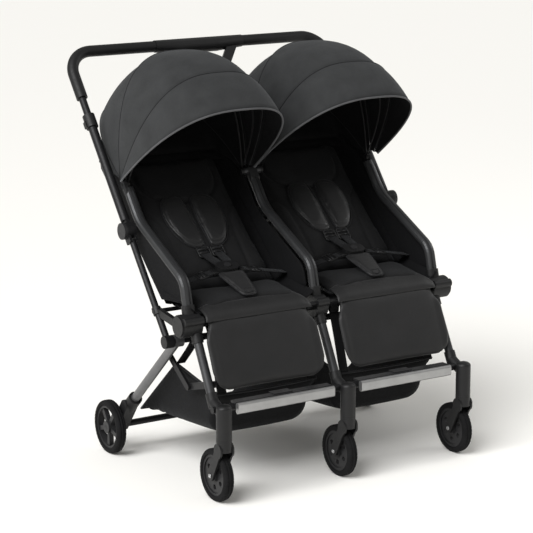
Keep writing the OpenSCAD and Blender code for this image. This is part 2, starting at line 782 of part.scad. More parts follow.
module seat_rails() {
    color([0.25, 0.26, 0.28]) {
        both() {
            seat_rail(rail_x);
            pivot_tab(tab_x, rail_x + tab_outer);
        }
        difference() {
            union() {
                seat_rail(0);
                pivot_tab(-tab_outer, tab_outer);
                for (s = [-1, 1]) on_side(s) rod(tab_outer, boss_x, canopy_pivot, eye_r);
            }
            rod(-fold_half - run_gap, fold_half + run_gap, fold_hub, mid_fold_hub_r + run_gap);
            rod(-boss_x - over, boss_x + over, canopy_pivot, pivot_pin_r + fit);
        }
    }
}

module lower_upright(x, r, tube_r, hub_radius) {
    difference() {
        union() {
            on_upright(x) {
                translate([0, 0, -lower_upright_len]) cylinder(r = tube_r, h = lower_upright_len - fold_neck);
                for (s = [-1, 1]) on_side(s) cheek(r, hub_radius);
            }
            rod(x - r, x + r, rear_pivot, knuckle_r);
        }
        rod(x - fold_half - over, x + fold_half + over, fold_hub, fold_pin_r + fit);
        rod(x - r - over, x + r + over, rear_pivot, rear_tube_r + fit);
        rod(x - r - over, x + r + over, back_pivot, recline_rod_r + fit);
    }
}

module cheek(r, hub_radius) {
    translate([fold_half - cheek_t, 0, 0]) {
        rotate([0, 90, 0]) cylinder(r = hub_radius, h = cheek_t);
        translate([0, -r, -fold_neck - cheek_t]) cube([cheek_t - r_trim(r), 2 * r, fold_neck + cheek_t]);
    }
}

// Keeps the root of a cheek no wider than its tube
function r_trim(r) = max(0, fold_half - r);

module lower_uprights() {
    color([0.25, 0.26, 0.28]) {
        both() lower_upright(upright_x, upright_r, lower_upright_r, fold_hub_r);
        lower_upright(0, mid_upright_r, mid_upright_r, mid_fold_hub_r);
    }
}

module upper_upright(x, r, bore, hub_radius) {
    on_upright(x) difference() {
        union() {
            translate([0, 0, fold_neck]) cylinder(r = r, h = upper_upright_len - fold_neck);
            rotate([0, 90, 0]) cylinder(r = hub_radius, h = tongue_t, center = true);
            translate([-tongue_t / 2, -r, 0]) cube([tongue_t, 2 * r, fold_neck]);
        }
        rotate([0, 90, 0]) cylinder(r = fold_pin_r + fit, h = tongue_t + 2 * over, center = true);
        translate([0, 0, upper_upright_len - slide_hold - collar_len])
            cylinder(r = bore + fit, h = slide_hold + collar_len + over);
    }
}

module upper_uprights() {
    color([0.25, 0.26, 0.28]) {
        both() upper_upright(upright_x, upright_r, push_bar_r, fold_hub_r);
        upper_upright(0, mid_upright_r, stem_r, mid_fold_hub_r);
    }
}

module main_hub(x0, x1, at_x, leg_x, post_x, post_r) {
    difference() {
        union() {
            rod(x0, x1, hub, hub_r);
            rail_bar(at_x, hub, hub + socket_len * knee_dir, socket_wall);
            tube(leg_x, hub, hub + socket_len * leg_dir, front_leg_r + socket_wall);
            rod(x0, x1, calf_pivot, calf_rod_r + 2 * socket_wall);
            plate(post_x - post_r, min(x1, post_x + post_r)) capsule(hub, back_pivot, link_r);
            on_upright(post_x) translate([0, 0, -recline_along - link_r])
                cylinder(r = post_r + socket_wall, h = 2 * link_r);
        }
        rail_bar(at_x, hub + socket_seat * knee_dir, hub + (socket_len + over) * knee_dir, fit);
        tube(leg_x, hub + socket_seat * leg_dir, hub + (socket_len + over) * leg_dir, front_leg_r + fit);
        on_upright(post_x) translate([0, 0, -recline_along - link_r - hub_r])
            cylinder(r = post_r + fit, h = 2 * (link_r + hub_r));
        rod(post_x - post_r - hub_r, post_x + post_r + hub_r, back_pivot, recline_rod_r + fit);
        children();
    }
}

module main_hubs() {
    color([0.16, 0.16, 0.17]) {
        both() main_hub(hub_inner_x, hub_outer_x, rail_x, front_leg_x, upright_x, lower_upright_r) {
            rod(hub_inner_x - hub_r, hub_inner_x + socket_seat, hub, front_tube_r + fit);
            rod(hub_inner_x - hub_r, hub_inner_x + socket_seat, calf_pivot, calf_rod_r + fit);
        }
        main_hub(-mid_hub_half, mid_hub_half, 0, 0, 0, mid_upright_r) {
            rod(-mid_hub_half - hub_r, mid_hub_half + hub_r, hub, front_tube_r + fit);
            rod(-mid_hub_half - hub_r, mid_hub_half + hub_r, calf_pivot, calf_rod_r + fit);
        }
    }
}

module hub_caps() {
    color([0.3, 0.3, 0.32]) both() rod(hub_outer_x, hub_outer_x + hub_cap_t, hub, hub_cap_r);
}

module front_leg(x) {
    tube(x, hub + socket_seat * leg_dir, leg_foot, front_leg_r);
}

module front_legs() {
    color([0.25, 0.26, 0.28]) {
        both() {
            front_leg(front_leg_x);
            rod(brace_front_x, front_leg_x, brace_front, brace_pin_r);
        }
        front_leg(0);
    }
}

module caster_housing(x) {
    stem_top = housing_top_z - housing_r;
    elbow = [caster_y, leg_foot_z - elbow_drop];
    difference() {
        union() {
            translate([x, caster_y, caster_seam_z])
                cylinder(r = housing_r, h = housing_top_z - caster_seam_z);
            tube(x, elbow, leg_foot, front_leg_r + socket_wall - run_gap);
            tube(x, leg_foot + (front_leg_r + socket_wall) * leg_dir, leg_foot - socket_seat * leg_dir,
                front_leg_r + socket_wall);
        }
        tube(x, leg_foot, leg_foot - (socket_seat + over) * leg_dir, front_leg_r + fit);
        translate([x, caster_y, caster_seam_z - over]) cylinder(r = stem_pin_r + fit,
            h = stem_top - caster_seam_z + over);
        rod(x - 2 * housing_r, x + 2 * housing_r, foot_rod, foot_rod_r + fit);
    }
}

module caster_housings() {
    color([0.14, 0.14, 0.15]) {
        both() caster_housing(front_leg_x);
        caster_housing(0);
    }
}

module cross_tubes() {
    color([0.2, 0.2, 0.22]) {
        front_end = hub_inner_x + socket_seat;
        rod(-front_end, front_end, hub, front_tube_r);
        rod(-front_end, front_end, calf_pivot, calf_rod_r);
        rod(-upright_x - upright_r, upright_x + upright_r, rear_pivot, rear_tube_r);
        rod(-upright_x - upright_r, upright_x + upright_r, back_pivot, recline_rod_r);
    }
}

module pivot_pins() {
    color([0.6, 0.6, 0.62]) {
        both() {
            rod(upright_x - fold_half, upright_x + fold_half, fold_hub, fold_pin_r);
            rod(mid_eye_x - eye_step - eye_t, rail_x + tab_outer, canopy_pivot, pivot_pin_r);
        }
        rod(-fold_half, fold_half, fold_hub, fold_pin_r);
        mid_end = mid_eye_inner_x + eye_step + eye_t;
        rod(-mid_end, mid_end, canopy_pivot, pivot_pin_r);
    }
}

module fold_hub_caps() {
    color([0.3, 0.3, 0.32])
        both() rod(upright_x + fold_half, upright_x + fold_half + fold_cap_h, fold_hub, fold_hub_r);
}

// Footrests and baskets

module footrest_bar() {
    front = foot_rod[0] - footrest_run + footrest_bar_t / 2;
    reach = (footrest_h - footrest_bar_t) / 2;
    plate(foot_x - footrest_w / 2, foot_x + footrest_w / 2)
        capsule([front, foot_rod[1] - reach], [front, foot_rod[1] + reach], footrest_bar_t / 2);
}

module footrest_bars() {
    color([0.68, 0.69, 0.71]) both() footrest_bar();
}

module footrest_tread() {
    front = foot_rod[0] - footrest_run + footrest_bar_t;
    top = foot_rod[1] + footrest_h / 2;
    rear = foot_rod[0] + foot_lug_r;
    lug_w = footrest_bar_t;
    difference() {
        union() {
            plate(foot_x - footrest_w / 2, foot_x + footrest_w / 2) {
                translate([front, top - tread_t]) square([rear - front, tread_t]);
                translate([front, foot_rod[1]]) square([tread_t, footrest_h / 2]);
            }
            for (s = [-1, 1]) translate([foot_x + s * footrest_w * lug_share, 0, 0])
                rod(-lug_w, lug_w, foot_rod, foot_lug_r);
            plate(foot_x - webbing_w, foot_x + webbing_w)
                translate([front + tread_t, top]) square([webbing_w, webbing_t]);
        }
        rod(foot_x - footrest_w, foot_x + footrest_w, foot_rod, foot_rod_r + fit);
    }
}

module footrest_treads() {
    color([0.12, 0.12, 0.13]) both() footrest_tread();
}

module footrest_rod() {
    end = front_leg_x + housing_r;
    color([0.2, 0.2, 0.22]) rod(-end, end, foot_rod, foot_rod_r);
}

// A basket's space between four side points, with sides that flare from the floor up
function basket_half(z) = basket_floor_half
    + (basket_top_half - basket_floor_half) * (z - basket_floor_z) / basket_side_h;

module basket_space(outline, inset) {
    points = [for (s = [-1, 1]) for (p = outline) [s * (basket_half(p[1]) - inset), p[0], p[1]]];
    faces = [[0, 1, 2], [0, 2, 3], [4, 6, 5], [4, 7, 6], [0, 4, 5], [0, 5, 1], [1, 5, 6], [1, 6, 2],
        [2, 6, 7], [2, 7, 3], [3, 7, 4], [3, 4, 0]];
    polyhedron(points = points, faces = faces);
}

module basket() {
    up = [0, basket_wall];
    lift = 2 * (basket_front_top - basket_front_low);
    past = basket_rear_low - basket_front_low;
    inner_low = basket_front_low + up + [basket_wall, 0];
    translate([foot_x, 0, 0]) difference() {
        basket_space([basket_front_low, basket_rear_low, basket_rear_top, basket_front_top], 0);
        basket_space([inner_low, basket_rear_low + up + past, basket_rear_low + up + past + lift,
            inner_low + lift], basket_wall);
    }
}

module basket_hanger(x, p, q, r) {
    d = unit(p - q);
    plate(x - webbing_w / 2, x + webbing_w / 2)
        capsule(p + webbing_t * d, q + (r + webbing_t) * d, webbing_t / 2);
}

module baskets() {
    color([0.1, 0.1, 0.11]) both() {
        basket();
        for (s = [-1, 1]) {
            x = foot_x + s * (basket_top_half - webbing_w / 2);
            basket_hanger(x, basket_front_top, hub, front_tube_r);
            basket_hanger(x, basket_rear_top, rear_pivot, rear_tube_r);
        }
    }
}

// Seats

module seat_bases() {
    color([0.1, 0.1, 0.11]) both() on_seat() translate([-seat_half, -front_tube_r / 2, seat_board_base])
        cube([2 * seat_half, seat_span - back_knuckle_r / 2 + front_tube_r / 2, seat_board_t]);
}

module side_panel() {
    gap = rail_t / 2 + run_gap;
    front_low = hub + (socket_len + socket_wall) * knee_dir + gap * right_of(knee_dir);
    rail_edge = [for (i = [1, 2]) for (p = bend_run(rail_points, rail_bends, i)) p[0] + gap * right_of(p[1])];
    polygon(concat([front_low], rail_edge, [rail_end - eye_r * upright_dir + gap * right_of(upright_dir),
        canopy_pivot + (eye_r + socket_wall) * right_of(upright_dir), back_pivot + back_len * back_dir,
        back_pivot + (seat_top - seat_pad_base) * back_dir]));
}

module seat_sides() {
    color([0.1, 0.1, 0.11]) both() {
        plate(rail_x - side_panel_t / 2, rail_x + side_panel_t / 2) side_panel();
        plate(inner_panel_x - side_panel_t / 2, inner_panel_x + side_panel_t / 2) side_panel();
    }
}

module seat_pads() {
    color([0.09, 0.09, 0.1]) both() on_seat()
        translate([0, seat_pad_len / 2 - calf_t * seat_front_share, seat_pad_base])
            cushion(2 * seat_half, seat_pad_len, seat_pad_t, wide_shares, plain_shares,
                [side_seam_share], []);
}

module backrest(s) {
    on_side(s) on_back() {
        difference() {
            union() {
                translate([-seat_half, back_knuckle_r * edge_share, -back_board_t / 2])
                    cube([2 * seat_half, back_len, back_board_t]);
                for (side = [-1, 1]) rod(side * seat_half * side_seam_share - back_pad_t,
                    side * seat_half * side_seam_share + back_pad_t, [0, 0], back_knuckle_r);
            }
            rod(-seat_half - over, seat_half + over, [0, 0], recline_rod_r + fit);
        }
        translate([0, back_pad_start + (back_len - back_pad_start) / 2, back_pad_base - run_gap])
            cushion(2 * seat_half, back_len - back_pad_start, back_pad_t + run_gap, wide_shares, long_shares,
                [side_seam_share], [cross_seam_share]);
    }
}

module backrest_left() {
    color([0.09, 0.09, 0.1]) backrest(-1);
}

module backrest_right() {
    color([0.09, 0.09, 0.1]) backrest(1);
}

module calf_rest(s) {
    on_side(s) on_calf() difference() {
        union() {
            translate([0, calf_len / 2, -calf_t / 2])
                cushion(2 * calf_half, calf_len, calf_t, wide_shares, plain_shares, [], []);
            rod(-calf_half + pad_draw + pad_edge, calf_half - pad_draw - pad_edge, [0, 0], calf_t / 2);
        }
        rod(-calf_half - over, calf_half + over, [0, 0], calf_rod_r + fit);
    }
}

module calf_rest_left() {
    color([0.09, 0.09, 0.1]) calf_rest(-1);
}

module calf_rest_right() {
    color([0.09, 0.09, 0.1]) calf_rest(1);
}

// Harness

module shoulder_pads(s) {
    on_side(s) on_back() for (side = [-1, 1])
        translate([side * shoulder_pad_x, shoulder_pad_start + shoulder_pad_len / 2, back_top + run_gap])
            rotate([0, 0, -side * shoulder_turn_angle])
                cushion(shoulder_pad_w, shoulder_pad_len, shoulder_pad_t, small_shares, plain_shares, [], []);
}

module shoulder_pads_left() {
    color([0.12, 0.12, 0.13]) shoulder_pads(-1);
}

module shoulder_pads_right() {
    color([0.12, 0.12, 0.13]) shoulder_pads(1);
}

// Frame of the crotch pad: y runs up to the buckle, z points away from the seat
module on_crotch() {
    on_seat() translate([0, crotch_start, seat_top + run_gap]) rotate([crotch_lift_angle, 0, 0]) children();
}

module crotch_pads() {
    color([0.12, 0.12, 0.13]) both() on_crotch() translate([0, crotch_pad_len / 2, 0])
        cushion(crotch_pad_w, crotch_pad_len, crotch_pad_t, small_shares, plain_shares, [], []);
}

module buckle() {
    on_crotch() translate([0, buckle_along, 0]) difference() {
        linear_extrude(height = buckle_t) stadium(buckle_w + buckle_len * buckle_round_share, buckle_len);
        translate([0, 0, buckle_t - 2 * buckle_travel])
            cylinder(r = buckle_button_r + run_gap, h = 2 * buckle_travel + over);
    }
}

module buckles() {
    color([0.07, 0.07, 0.08]) both() buckle();
}

module buckle_button(s) {
    on_side(s) on_crotch() translate([0, buckle_along, buckle_t - buckle_travel + run_gap])
        cylinder(r = buckle_button_r, h = 2 * buckle_travel);
}

module buckle_button_left() {
    color([0.35, 0.35, 0.37]) buckle_button(-1);
}

module buckle_button_right() {
    color([0.35, 0.35, 0.37]) buckle_button(1);
}

// One waist strap in the seat's frame, from the buckle to a side panel
module waist_strap() {
    reach = (rail_x - inner_panel_x - side_panel_t) / 2 - run_gap;
    from = buckle_w / 2 + buckle_len * buckle_round_share / 2 + run_gap;
    y = crotch_start + (crotch_pad_len + buckle_len / 2) * cos(crotch_lift_angle);
    z = seat_top + (crotch_pad_len + buckle_len / 2) * sin(crotch_lift_angle);
    drop = z - seat_top - buckle_t;
    on_seat() translate([0, y - webbing_w / 2, z]) rotate([-90, 0, 0])
        linear_extrude(height = webbing_w) polygon([[from, 0], [reach, drop], [reach, drop + webbing_t],
            [from, webbing_t]]);
}

module waist_straps() {
    color([0.12, 0.12, 0.13]) both() {
        waist_strap();
        translate([2 * seat_x, 0, 0]) mirror([1, 0, 0]) waist_strap();
    }
}

// Canopies

module canopy_rear() {
    foot = back_pivot + (back_len + back_knuckle_r) * back_dir + back_pad_t / 2 * left_of(back_dir);
    canopy_cloth(rear_hoop_angle, mid_hoop_angle - hoop_gap_angle, rear_half, mid_half - panel_lap,
        crown_r_rear, crown_r_mid - panel_lap, cloth_t, rear_sag, foot);
}

module canopy_rears() {
    color([0.26, 0.27, 0.29]) both() canopy_rear();
}

module canopy_mid(s) {
    on_side(s) {
        canopy_cloth(mid_hoop_angle - hoop_gap_angle, front_hoop_angle - hoop_gap_angle, mid_half,
            front_half - panel_lap, crown_r_mid, crown_r_front - panel_lap, hem_t);
        canopy_bow(mid_hoop_angle, mid_bow_half, mid_bow_crown);
    }
}

module canopy_mid_left() {
    color([0.26, 0.27, 0.29]) canopy_mid(-1);
}

module canopy_mid_right() {
    color([0.26, 0.27, 0.29]) canopy_mid(1);
}

module canopy_front(s) {
    on_side(s) {
        canopy_cloth(front_hoop_angle - hoop_gap_angle, rim_hoop_angle, front_half, rim_half,
            crown_r_front, crown_r_rim, hem_t);
        canopy_bow(front_hoop_angle, front_bow_half, front_bow_crown);
    }
}

module canopy_front_left() {
    color([0.26, 0.27, 0.29]) canopy_front(-1);
}

module canopy_front_right() {
    color([0.26, 0.27, 0.29]) canopy_front(1);
}

// Handle

module handle_collar(x, r, tube_r, slide_r) {
    on_upright(x) translate([0, 0, upper_upright_len]) difference() {
        union() {
            translate([0, 0, -collar_len / 2]) cylinder(r = r, h = collar_len);
            if (x > 0) translate([0, -tube_r / 2, -collar_len / 2])
                cube([r + socket_wall, tube_r, collar_len / 2]);
        }
        translate([0, 0, -collar_len]) cylinder(r = tube_r + fit, h = collar_len);
        translate([0, 0, -over]) cylinder(r = slide_r + fit, h = collar_len + over);
    }
}

module handle_collars() {
    color([0.14, 0.14, 0.15]) {
        both() handle_collar(upright_x, collar_r, upright_r, push_bar_r);
        handle_collar(0, mid_upright_r + socket_wall, mid_upright_r, stem_r);
    }
}

module push_bar() {
    low = upper_upright_len - slide_hold;
    color([0.25, 0.26, 0.28]) on_handle() bent_bar(
        [[-upright_x, low], [-upright_x, handle_reach], [upright_x, handle_reach], [upright_x, low]],
        [0, handle_bend_r, handle_bend_r, 0]) circle(r = push_bar_r);
}

module grip_covers() {
    color([0.1, 0.1, 0.1]) both() on_handle() bent_bar(
        [[upright_x, grip_start], [upright_x, handle_reach], [block_half, handle_reach]],
        [0, handle_bend_r, 0]) ring(grip_r, push_bar_r + fit);
}

module block_disc(x, r, drop) {
    translate([x, 0, handle_reach - drop]) rotate([0, 90, 0])
        cylinder(r = r, h = over, center = true, $fn = hull_fn);
}

module strut() {
    top = handle_reach - push_bar_r;
    low = handle_reach - strut_len;
    polygon([[strut_x - strut_w / 2, top], [strut_x + strut_w / 2, top], [strut_w / 2, low],
        [-strut_w / 2, low]]);
}

module handle_block() {
    low = handle_reach - strut_len;
    color([0.12, 0.12, 0.13]) difference() {
        union() {
            on_upright(0) {
                hull() {
                    for (s = [-1, 1]) {
                        block_disc(s * (block_half - over), block_end_r, 0);
                        block_disc(s * block_half * bulge_share, block_mid_r, block_drop);
                    }
                }
                translate([0, 0, low - socket_wall]) cylinder(r = stem_r + 2 * socket_wall, h = socket_seat);
            }
            both() on_handle() translate([0, 0, -strut_t / 2]) linear_extrude(height = strut_t) strut();
        }
        on_upright(0) {
            translate([-block_half - over, 0, handle_reach]) rotate([0, 90, 0])
                cylinder(r = push_bar_r + fit, h = 2 * (block_half + over));
            translate([0, 0, low - socket_wall - over]) cylinder(r = stem_r + fit, h = socket_seat);
            translate([0, button_floor, handle_reach - block_drop]) rotate([-90, 0, 0])
                linear_extrude(height = block_mid_r)
                    stadium(button_len + 2 * run_gap, button_w + 2 * run_gap);
        }
    }
}

module fold_button() {
    start = button_floor + button_travel + run_gap;
    color([0.3, 0.3, 0.32]) on_upright(0) translate([0, start, handle_reach - block_drop])
        rotate([-90, 0, 0]) linear_extrude(height = block_mid_r + button_proud - start)
            stadium(button_len, button_w);
}

module handle_stem() {
    top = handle_reach - strut_len - socket_wall - over + socket_seat;
    low = upper_upright_len - slide_hold;
    color([0.25, 0.26, 0.28]) on_upright(0) translate([0, 0, low]) cylinder(r = stem_r, h = top - low);
}

// Rear legs

module rear_leg() {
    difference() {
        union() {
            tube(rear_leg_x, rear_pivot, rear_foot, rear_leg_r);
            rod(rear_leg_x - rear_leg_r, rear_leg_x + rear_leg_r, rear_pivot, knuckle_r);
            rod(brace_rear_x, rear_leg_x, brace_rear, brace_pin_r);
        }
        rod(rear_leg_x - knuckle_r, rear_leg_x + knuckle_r, rear_pivot, rear_tube_r + fit);
    }
}

module rear_legs() {
    color([0.5, 0.51, 0.53]) both() rear_leg();
}

module rear_axle() {
    inner = rear_leg_x + rear_leg_r + wheel_gap - run_gap;
    end = rear_wheel_x + rear_wheel_w / 2;
    color([0.2, 0.2, 0.22]) {
        rod(-inner, inner, rear_axle, axle_r);
        both() rod(inner, end, rear_axle, spindle_r);
    }
}

module rear_bracket() {
    x0 = rear_leg_x - rear_leg_r;
    x1 = rear_leg_x + rear_leg_r + wheel_gap - run_gap;
    difference() {
        union() {
            plate(x0, x1) capsule(rear_foot, rear_axle, bracket_axle_r);
            tube(rear_leg_x, rear_foot - 2 * bracket_leg_r * rear_dir, rear_foot + bracket_axle_r * rear_dir,
                bracket_leg_r);
        }
        tube(rear_leg_x, rear_foot - 3 * bracket_leg_r * rear_dir, rear_foot, rear_leg_r + fit);
        rod(x0 - over, x1 + over, rear_axle, axle_r + fit);
    }
}

module rear_brackets() {
    color([0.14, 0.14, 0.15]) both() rear_bracket();
}

module brake_pedal() {
    slope = 20;
    r = axle_r + socket_wall;
    color([0.14, 0.14, 0.15]) difference() {
        union() {
            rod(pedal_x - pedal_w / 2, pedal_x + pedal_w / 2, rear_axle, r);
            plate(pedal_x - pedal_w / 2, pedal_x + pedal_w / 2)
                capsule(rear_axle + r * polar(slope), rear_axle + pedal_len * polar(slope), socket_wall);
        }
        rod(pedal_x - pedal_w, pedal_x + pedal_w, rear_axle, axle_r + fit);
    }
}

// Brace links; the pin at the knee is left open

module brace_link(x, p, q) {
    difference() {
        plate(x, x + brace_t) capsule(p, q, brace_r);
        rod(x - over, x + brace_t + over, p, brace_pin_r + fit);
    }
}

module brace_rear_links() {
    color([0.2, 0.2, 0.22]) both() brace_link(brace_rear_x, brace_rear, brace_knee);
}

module brace_front_links() {
    color([0.2, 0.2, 0.22]) both() brace_link(brace_front_x, brace_front, brace_knee);
}

// Wheels

module wheel_at(x, p) {
    translate([x, p[0], p[1]]) rotate([0, 90, 0]) children();
}

module tyre(r, w) {
    round_r = tyre_h * edge_share;
    rotate_extrude() {
        translate([r - tyre_h, -w / 2]) square([tyre_h - round_r, w]);
        translate([r - round_r, -w / 2 + round_r]) square([round_r, w - 2 * round_r]);
        for (s = [-1, 1]) translate([r - round_r, s * (w / 2 - round_r)]) circle(r = round_r);
    }
}

module rim_ring_body(r, w) {
    rotate_extrude() translate([r - tyre_h - rim_ring, -w / 2 + rim_ring / 2])
        square([rim_ring, w - rim_ring]);
}

module rear_rim() {
    inner = rear_wheel_r - tyre_h - rim_ring;
    difference() {
        union() {
            rim_ring_body(rear_wheel_r, rear_wheel_w);
            cylinder(r = wheel_hub_r, h = rear_wheel_w, center = true);
            for (i = [0 : spoke_count - 1]) rotate([0, 0, 360 * i / spoke_count])
                translate([0, -spoke_w / 2, -web_t / 2]) cube([inner + rim_ring / 2, spoke_w, web_t]);
        }
        cylinder(r = spindle_r + fit, h = rear_wheel_w + 2 * over, center = true);
    }
}

module front_rim() {
    inner = front_wheel_r - tyre_h - rim_ring;
    hole_at = (inner + wheel_hub_r) / 2;
    difference() {
        union() {
            rim_ring_body(front_wheel_r, front_wheel_w);
            cylinder(r = wheel_hub_r, h = front_wheel_w, center = true);
            cylinder(r = inner + rim_ring / 2, h = web_t, center = true);
        }
        cylinder(r = front_axle_r + fit, h = front_wheel_w + 2 * over, center = true);
        for (i = [0 : disc_hole_count - 1]) rotate([0, 0, 360 * i / disc_hole_count])
            translate([hole_at, 0, 0]) cylinder(r = disc_hole_r, h = front_wheel_w, center = true);
    }
}

module caster_fork(x) {
    arm_x = front_wheel_w / 2 + fork_gap;
    crown_z = 2 * front_wheel_r + 2 * fork_gap;
    crown = [caster_y, crown_z];
    translate([x, 0, 0]) {
        translate([0, caster_y, crown_z]) cylinder(r = housing_r, h = caster_seam_z - run_gap - crown_z);
        translate([0, caster_y, crown_z])
            cylinder(r = stem_pin_r, h = housing_top_z - housing_r - crown_z - over);
        both() plate(arm_x, arm_x + fork_t) capsule(crown, front_axle, fork_foot_r);
        both() plate(arm_x, arm_x + fork_t) capsule(crown, crown + [0, fork_t], fork_top_r);
        rod(-arm_x - fork_t, arm_x + fork_t, front_axle, front_axle_r);
    }
}

module caster_fork_left() {
    color([0.14, 0.14, 0.15]) caster_fork(-front_leg_x);
}

module caster_fork_mid() {
    color([0.14, 0.14, 0.15]) caster_fork(0);
}

module caster_fork_right() {
    color([0.14, 0.14, 0.15]) caster_fork(front_leg_x);
}

module front_tyre_left() {
    color([0.05, 0.05, 0.05]) wheel_at(-front_leg_x, front_axle) tyre(front_wheel_r, front_wheel_w);
}

module front_tyre_mid() {
    color([0.05, 0.05, 0.05]) wheel_at(0, front_axle) tyre(front_wheel_r, front_wheel_w);
}

module front_tyre_right() {
    color([0.05, 0.05, 0.05]) wheel_at(front_leg_x, front_axle) tyre(front_wheel_r, front_wheel_w);
}

module front_rim_left() {
    color([0.2, 0.2, 0.21]) wheel_at(-front_leg_x, front_axle) front_rim();
}

module front_rim_mid() {
    color([0.2, 0.2, 0.21]) wheel_at(0, front_axle) front_rim();
}

module front_rim_right() {
    color([0.2, 0.2, 0.21]) wheel_at(front_leg_x, front_axle) front_rim();
}

module rear_tyre_left() {
    color([0.05, 0.05, 0.05]) wheel_at(-rear_wheel_x, rear_axle) tyre(rear_wheel_r, rear_wheel_w);
}

module rear_tyre_right() {
    color([0.05, 0.05, 0.05]) wheel_at(rear_wheel_x, rear_axle) tyre(rear_wheel_r, rear_wheel_w);
}

module rear_rim_left() {
    color([0.2, 0.2, 0.21]) wheel_at(-rear_wheel_x, rear_axle) rear_rim();
}

module rear_rim_right() {
    color([0.2, 0.2, 0.21]) wheel_at(rear_wheel_x, rear_axle) rear_rim();
}

seat_rails();
lower_uprights();
main_hubs();
hub_caps();
front_legs();
caster_housings();
cross_tubes();
pivot_pins();
fold_hub_caps();
footrest_bars();
footrest_treads();
footrest_rod();
baskets();
seat_bases();
seat_sides();
seat_pads();
waist_straps();
crotch_pads();
buckles();
buckle_button_left();
buckle_button_right();
canopy_rears();
upper_uprights();
handle_collars();
push_bar();
grip_covers();
handle_block();
handle_stem();
fold_button();
rear_legs();
rear_axle();
rear_brackets();
brake_pedal();
rear_tyre_left();
rear_tyre_right();
rear_rim_left();
rear_rim_right();
brace_rear_links();
brace_front_links();
caster_fork_left();
caster_fork_mid();
caster_fork_right();
front_tyre_left();
front_tyre_mid();
front_tyre_right();
front_rim_left();
front_rim_mid();
front_rim_right();
canopy_mid_left();
canopy_mid_right();
canopy_front_left();
canopy_front_right();
backrest_left();
backrest_right();
shoulder_pads_left();
shoulder_pads_right();
calf_rest_left();
calf_rest_right();
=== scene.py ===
import bmesh
import bpy
import math
from mathutils import Matrix, Vector


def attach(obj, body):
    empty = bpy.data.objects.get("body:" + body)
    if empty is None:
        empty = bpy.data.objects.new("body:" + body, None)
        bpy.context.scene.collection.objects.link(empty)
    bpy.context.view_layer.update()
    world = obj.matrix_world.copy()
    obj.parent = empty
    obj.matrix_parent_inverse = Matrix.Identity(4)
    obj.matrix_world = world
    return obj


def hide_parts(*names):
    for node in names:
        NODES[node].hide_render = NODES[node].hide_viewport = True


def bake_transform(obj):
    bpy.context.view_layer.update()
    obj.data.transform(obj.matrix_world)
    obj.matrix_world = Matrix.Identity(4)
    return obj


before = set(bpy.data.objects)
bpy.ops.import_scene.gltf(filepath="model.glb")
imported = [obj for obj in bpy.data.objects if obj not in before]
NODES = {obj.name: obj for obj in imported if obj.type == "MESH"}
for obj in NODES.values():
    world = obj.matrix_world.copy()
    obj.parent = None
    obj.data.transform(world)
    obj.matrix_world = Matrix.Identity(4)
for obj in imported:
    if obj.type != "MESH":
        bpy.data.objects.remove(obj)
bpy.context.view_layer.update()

MM = 0.001
SIDES = (("left", -1), ("right", 1))
PLACES = (("a", -1), ("b", 1))

# Side points of the frame, as (y, z) in millimetres
HUB = Vector((-182, 392))
FOLD_HUB = Vector((60, 572))
UPRIGHT_ANGLE = math.radians(51.4)
UP = Vector((math.cos(UPRIGHT_ANGLE), math.sin(UPRIGHT_ANGLE)))
UP_FACE = Vector((-UP.y, UP.x))
RAIL_OFFSET = 19.2
BACK_PIVOT = FOLD_HUB - 213.7 * UP
REAR_PIVOT = FOLD_HUB - 294 * UP
CANOPY_PIVOT = FOLD_HUB + 112.5 * UP + RAIL_OFFSET * UP_FACE
SHOULDER = FOLD_HUB + 8 * UP + RAIL_OFFSET * UP_FACE
KNEE = HUB + Vector((25, 98))
RAIL_END = CANOPY_PIVOT - 24 * UP
CALF_PIVOT = HUB + Vector((-23, 13))
KNEE_PIN = Vector((-140, 232))
REAR_WHEEL = Vector((158, 66))
FRONT_WHEEL = Vector((-283, 61.5))
CASTER_TOP = Vector((-316, 226))
SEAT_ANGLE = math.atan2(BACK_PIVOT.y - HUB.y, BACK_PIVOT.x - HUB.x)
BACK_ANGLE = math.radians(42)
BACK_DIR = Vector((math.cos(BACK_ANGLE), math.sin(BACK_ANGLE)))
CALF_ANGLE = math.radians(66.2)
CROTCH_LIFT = math.radians(14)
CROTCH_FOOT = (0, 12, 43.9)

# Places across the stroller, in millimetres
RAIL_X = 346
SEAT_X = 180.75
CANOPY_X = 186
FOOT_X = 168.75
INNER_PANEL_X = 15.5
REAR_WHEEL_X = 379
FRONT_LEG_X = 337.5
CASTERS = (("left", -FRONT_LEG_X), ("mid", 0), ("right", FRONT_LEG_X))


# Frames: local millimetres to the row frame in metres

def frame_at(x, origin, angle=0.0, along=1):
    """A local frame at a side point, turned about the x axis; along is -1 where y runs down."""
    c, s = math.cos(angle), math.sin(angle)
    return Matrix(((1, 0, 0, x), (0, along * c, -s, origin.x), (0, along * s, c, origin.y), (0, 0, 0, 1 / MM))) * MM


def seat_frame(x):
    """y runs back along the seat and z stands on it."""
    return frame_at(x, HUB, SEAT_ANGLE)


def back_frame(x):
    """y runs up the backrest and z points to the front."""
    return frame_at(x, BACK_PIVOT, BACK_ANGLE)


def calf_frame(x):
    """y runs down the calf rest and z points to the front."""
    return frame_at(x, CALF_PIVOT, CALF_ANGLE, -1)


def crotch_frame(x):
    """y runs up the crotch pad to the buckle and z points away from the seat."""
    return seat_frame(x) @ Matrix.Translation(CROTCH_FOOT) @ Matrix.Rotation(CROTCH_LIFT, 4, "X")


def side_point(x, p):
    return Vector((x, p.x, p.y)) * MM


# Materials

NOISE_LOW, NOISE_HIGH = 0.3, 0.7
ROUGH_SPREAD = 0.06
BANDS_PER_METRE = 0.31416


def set_all(target, **values):
    for key, value in values.items():
        setattr(target, key, value)
    return target


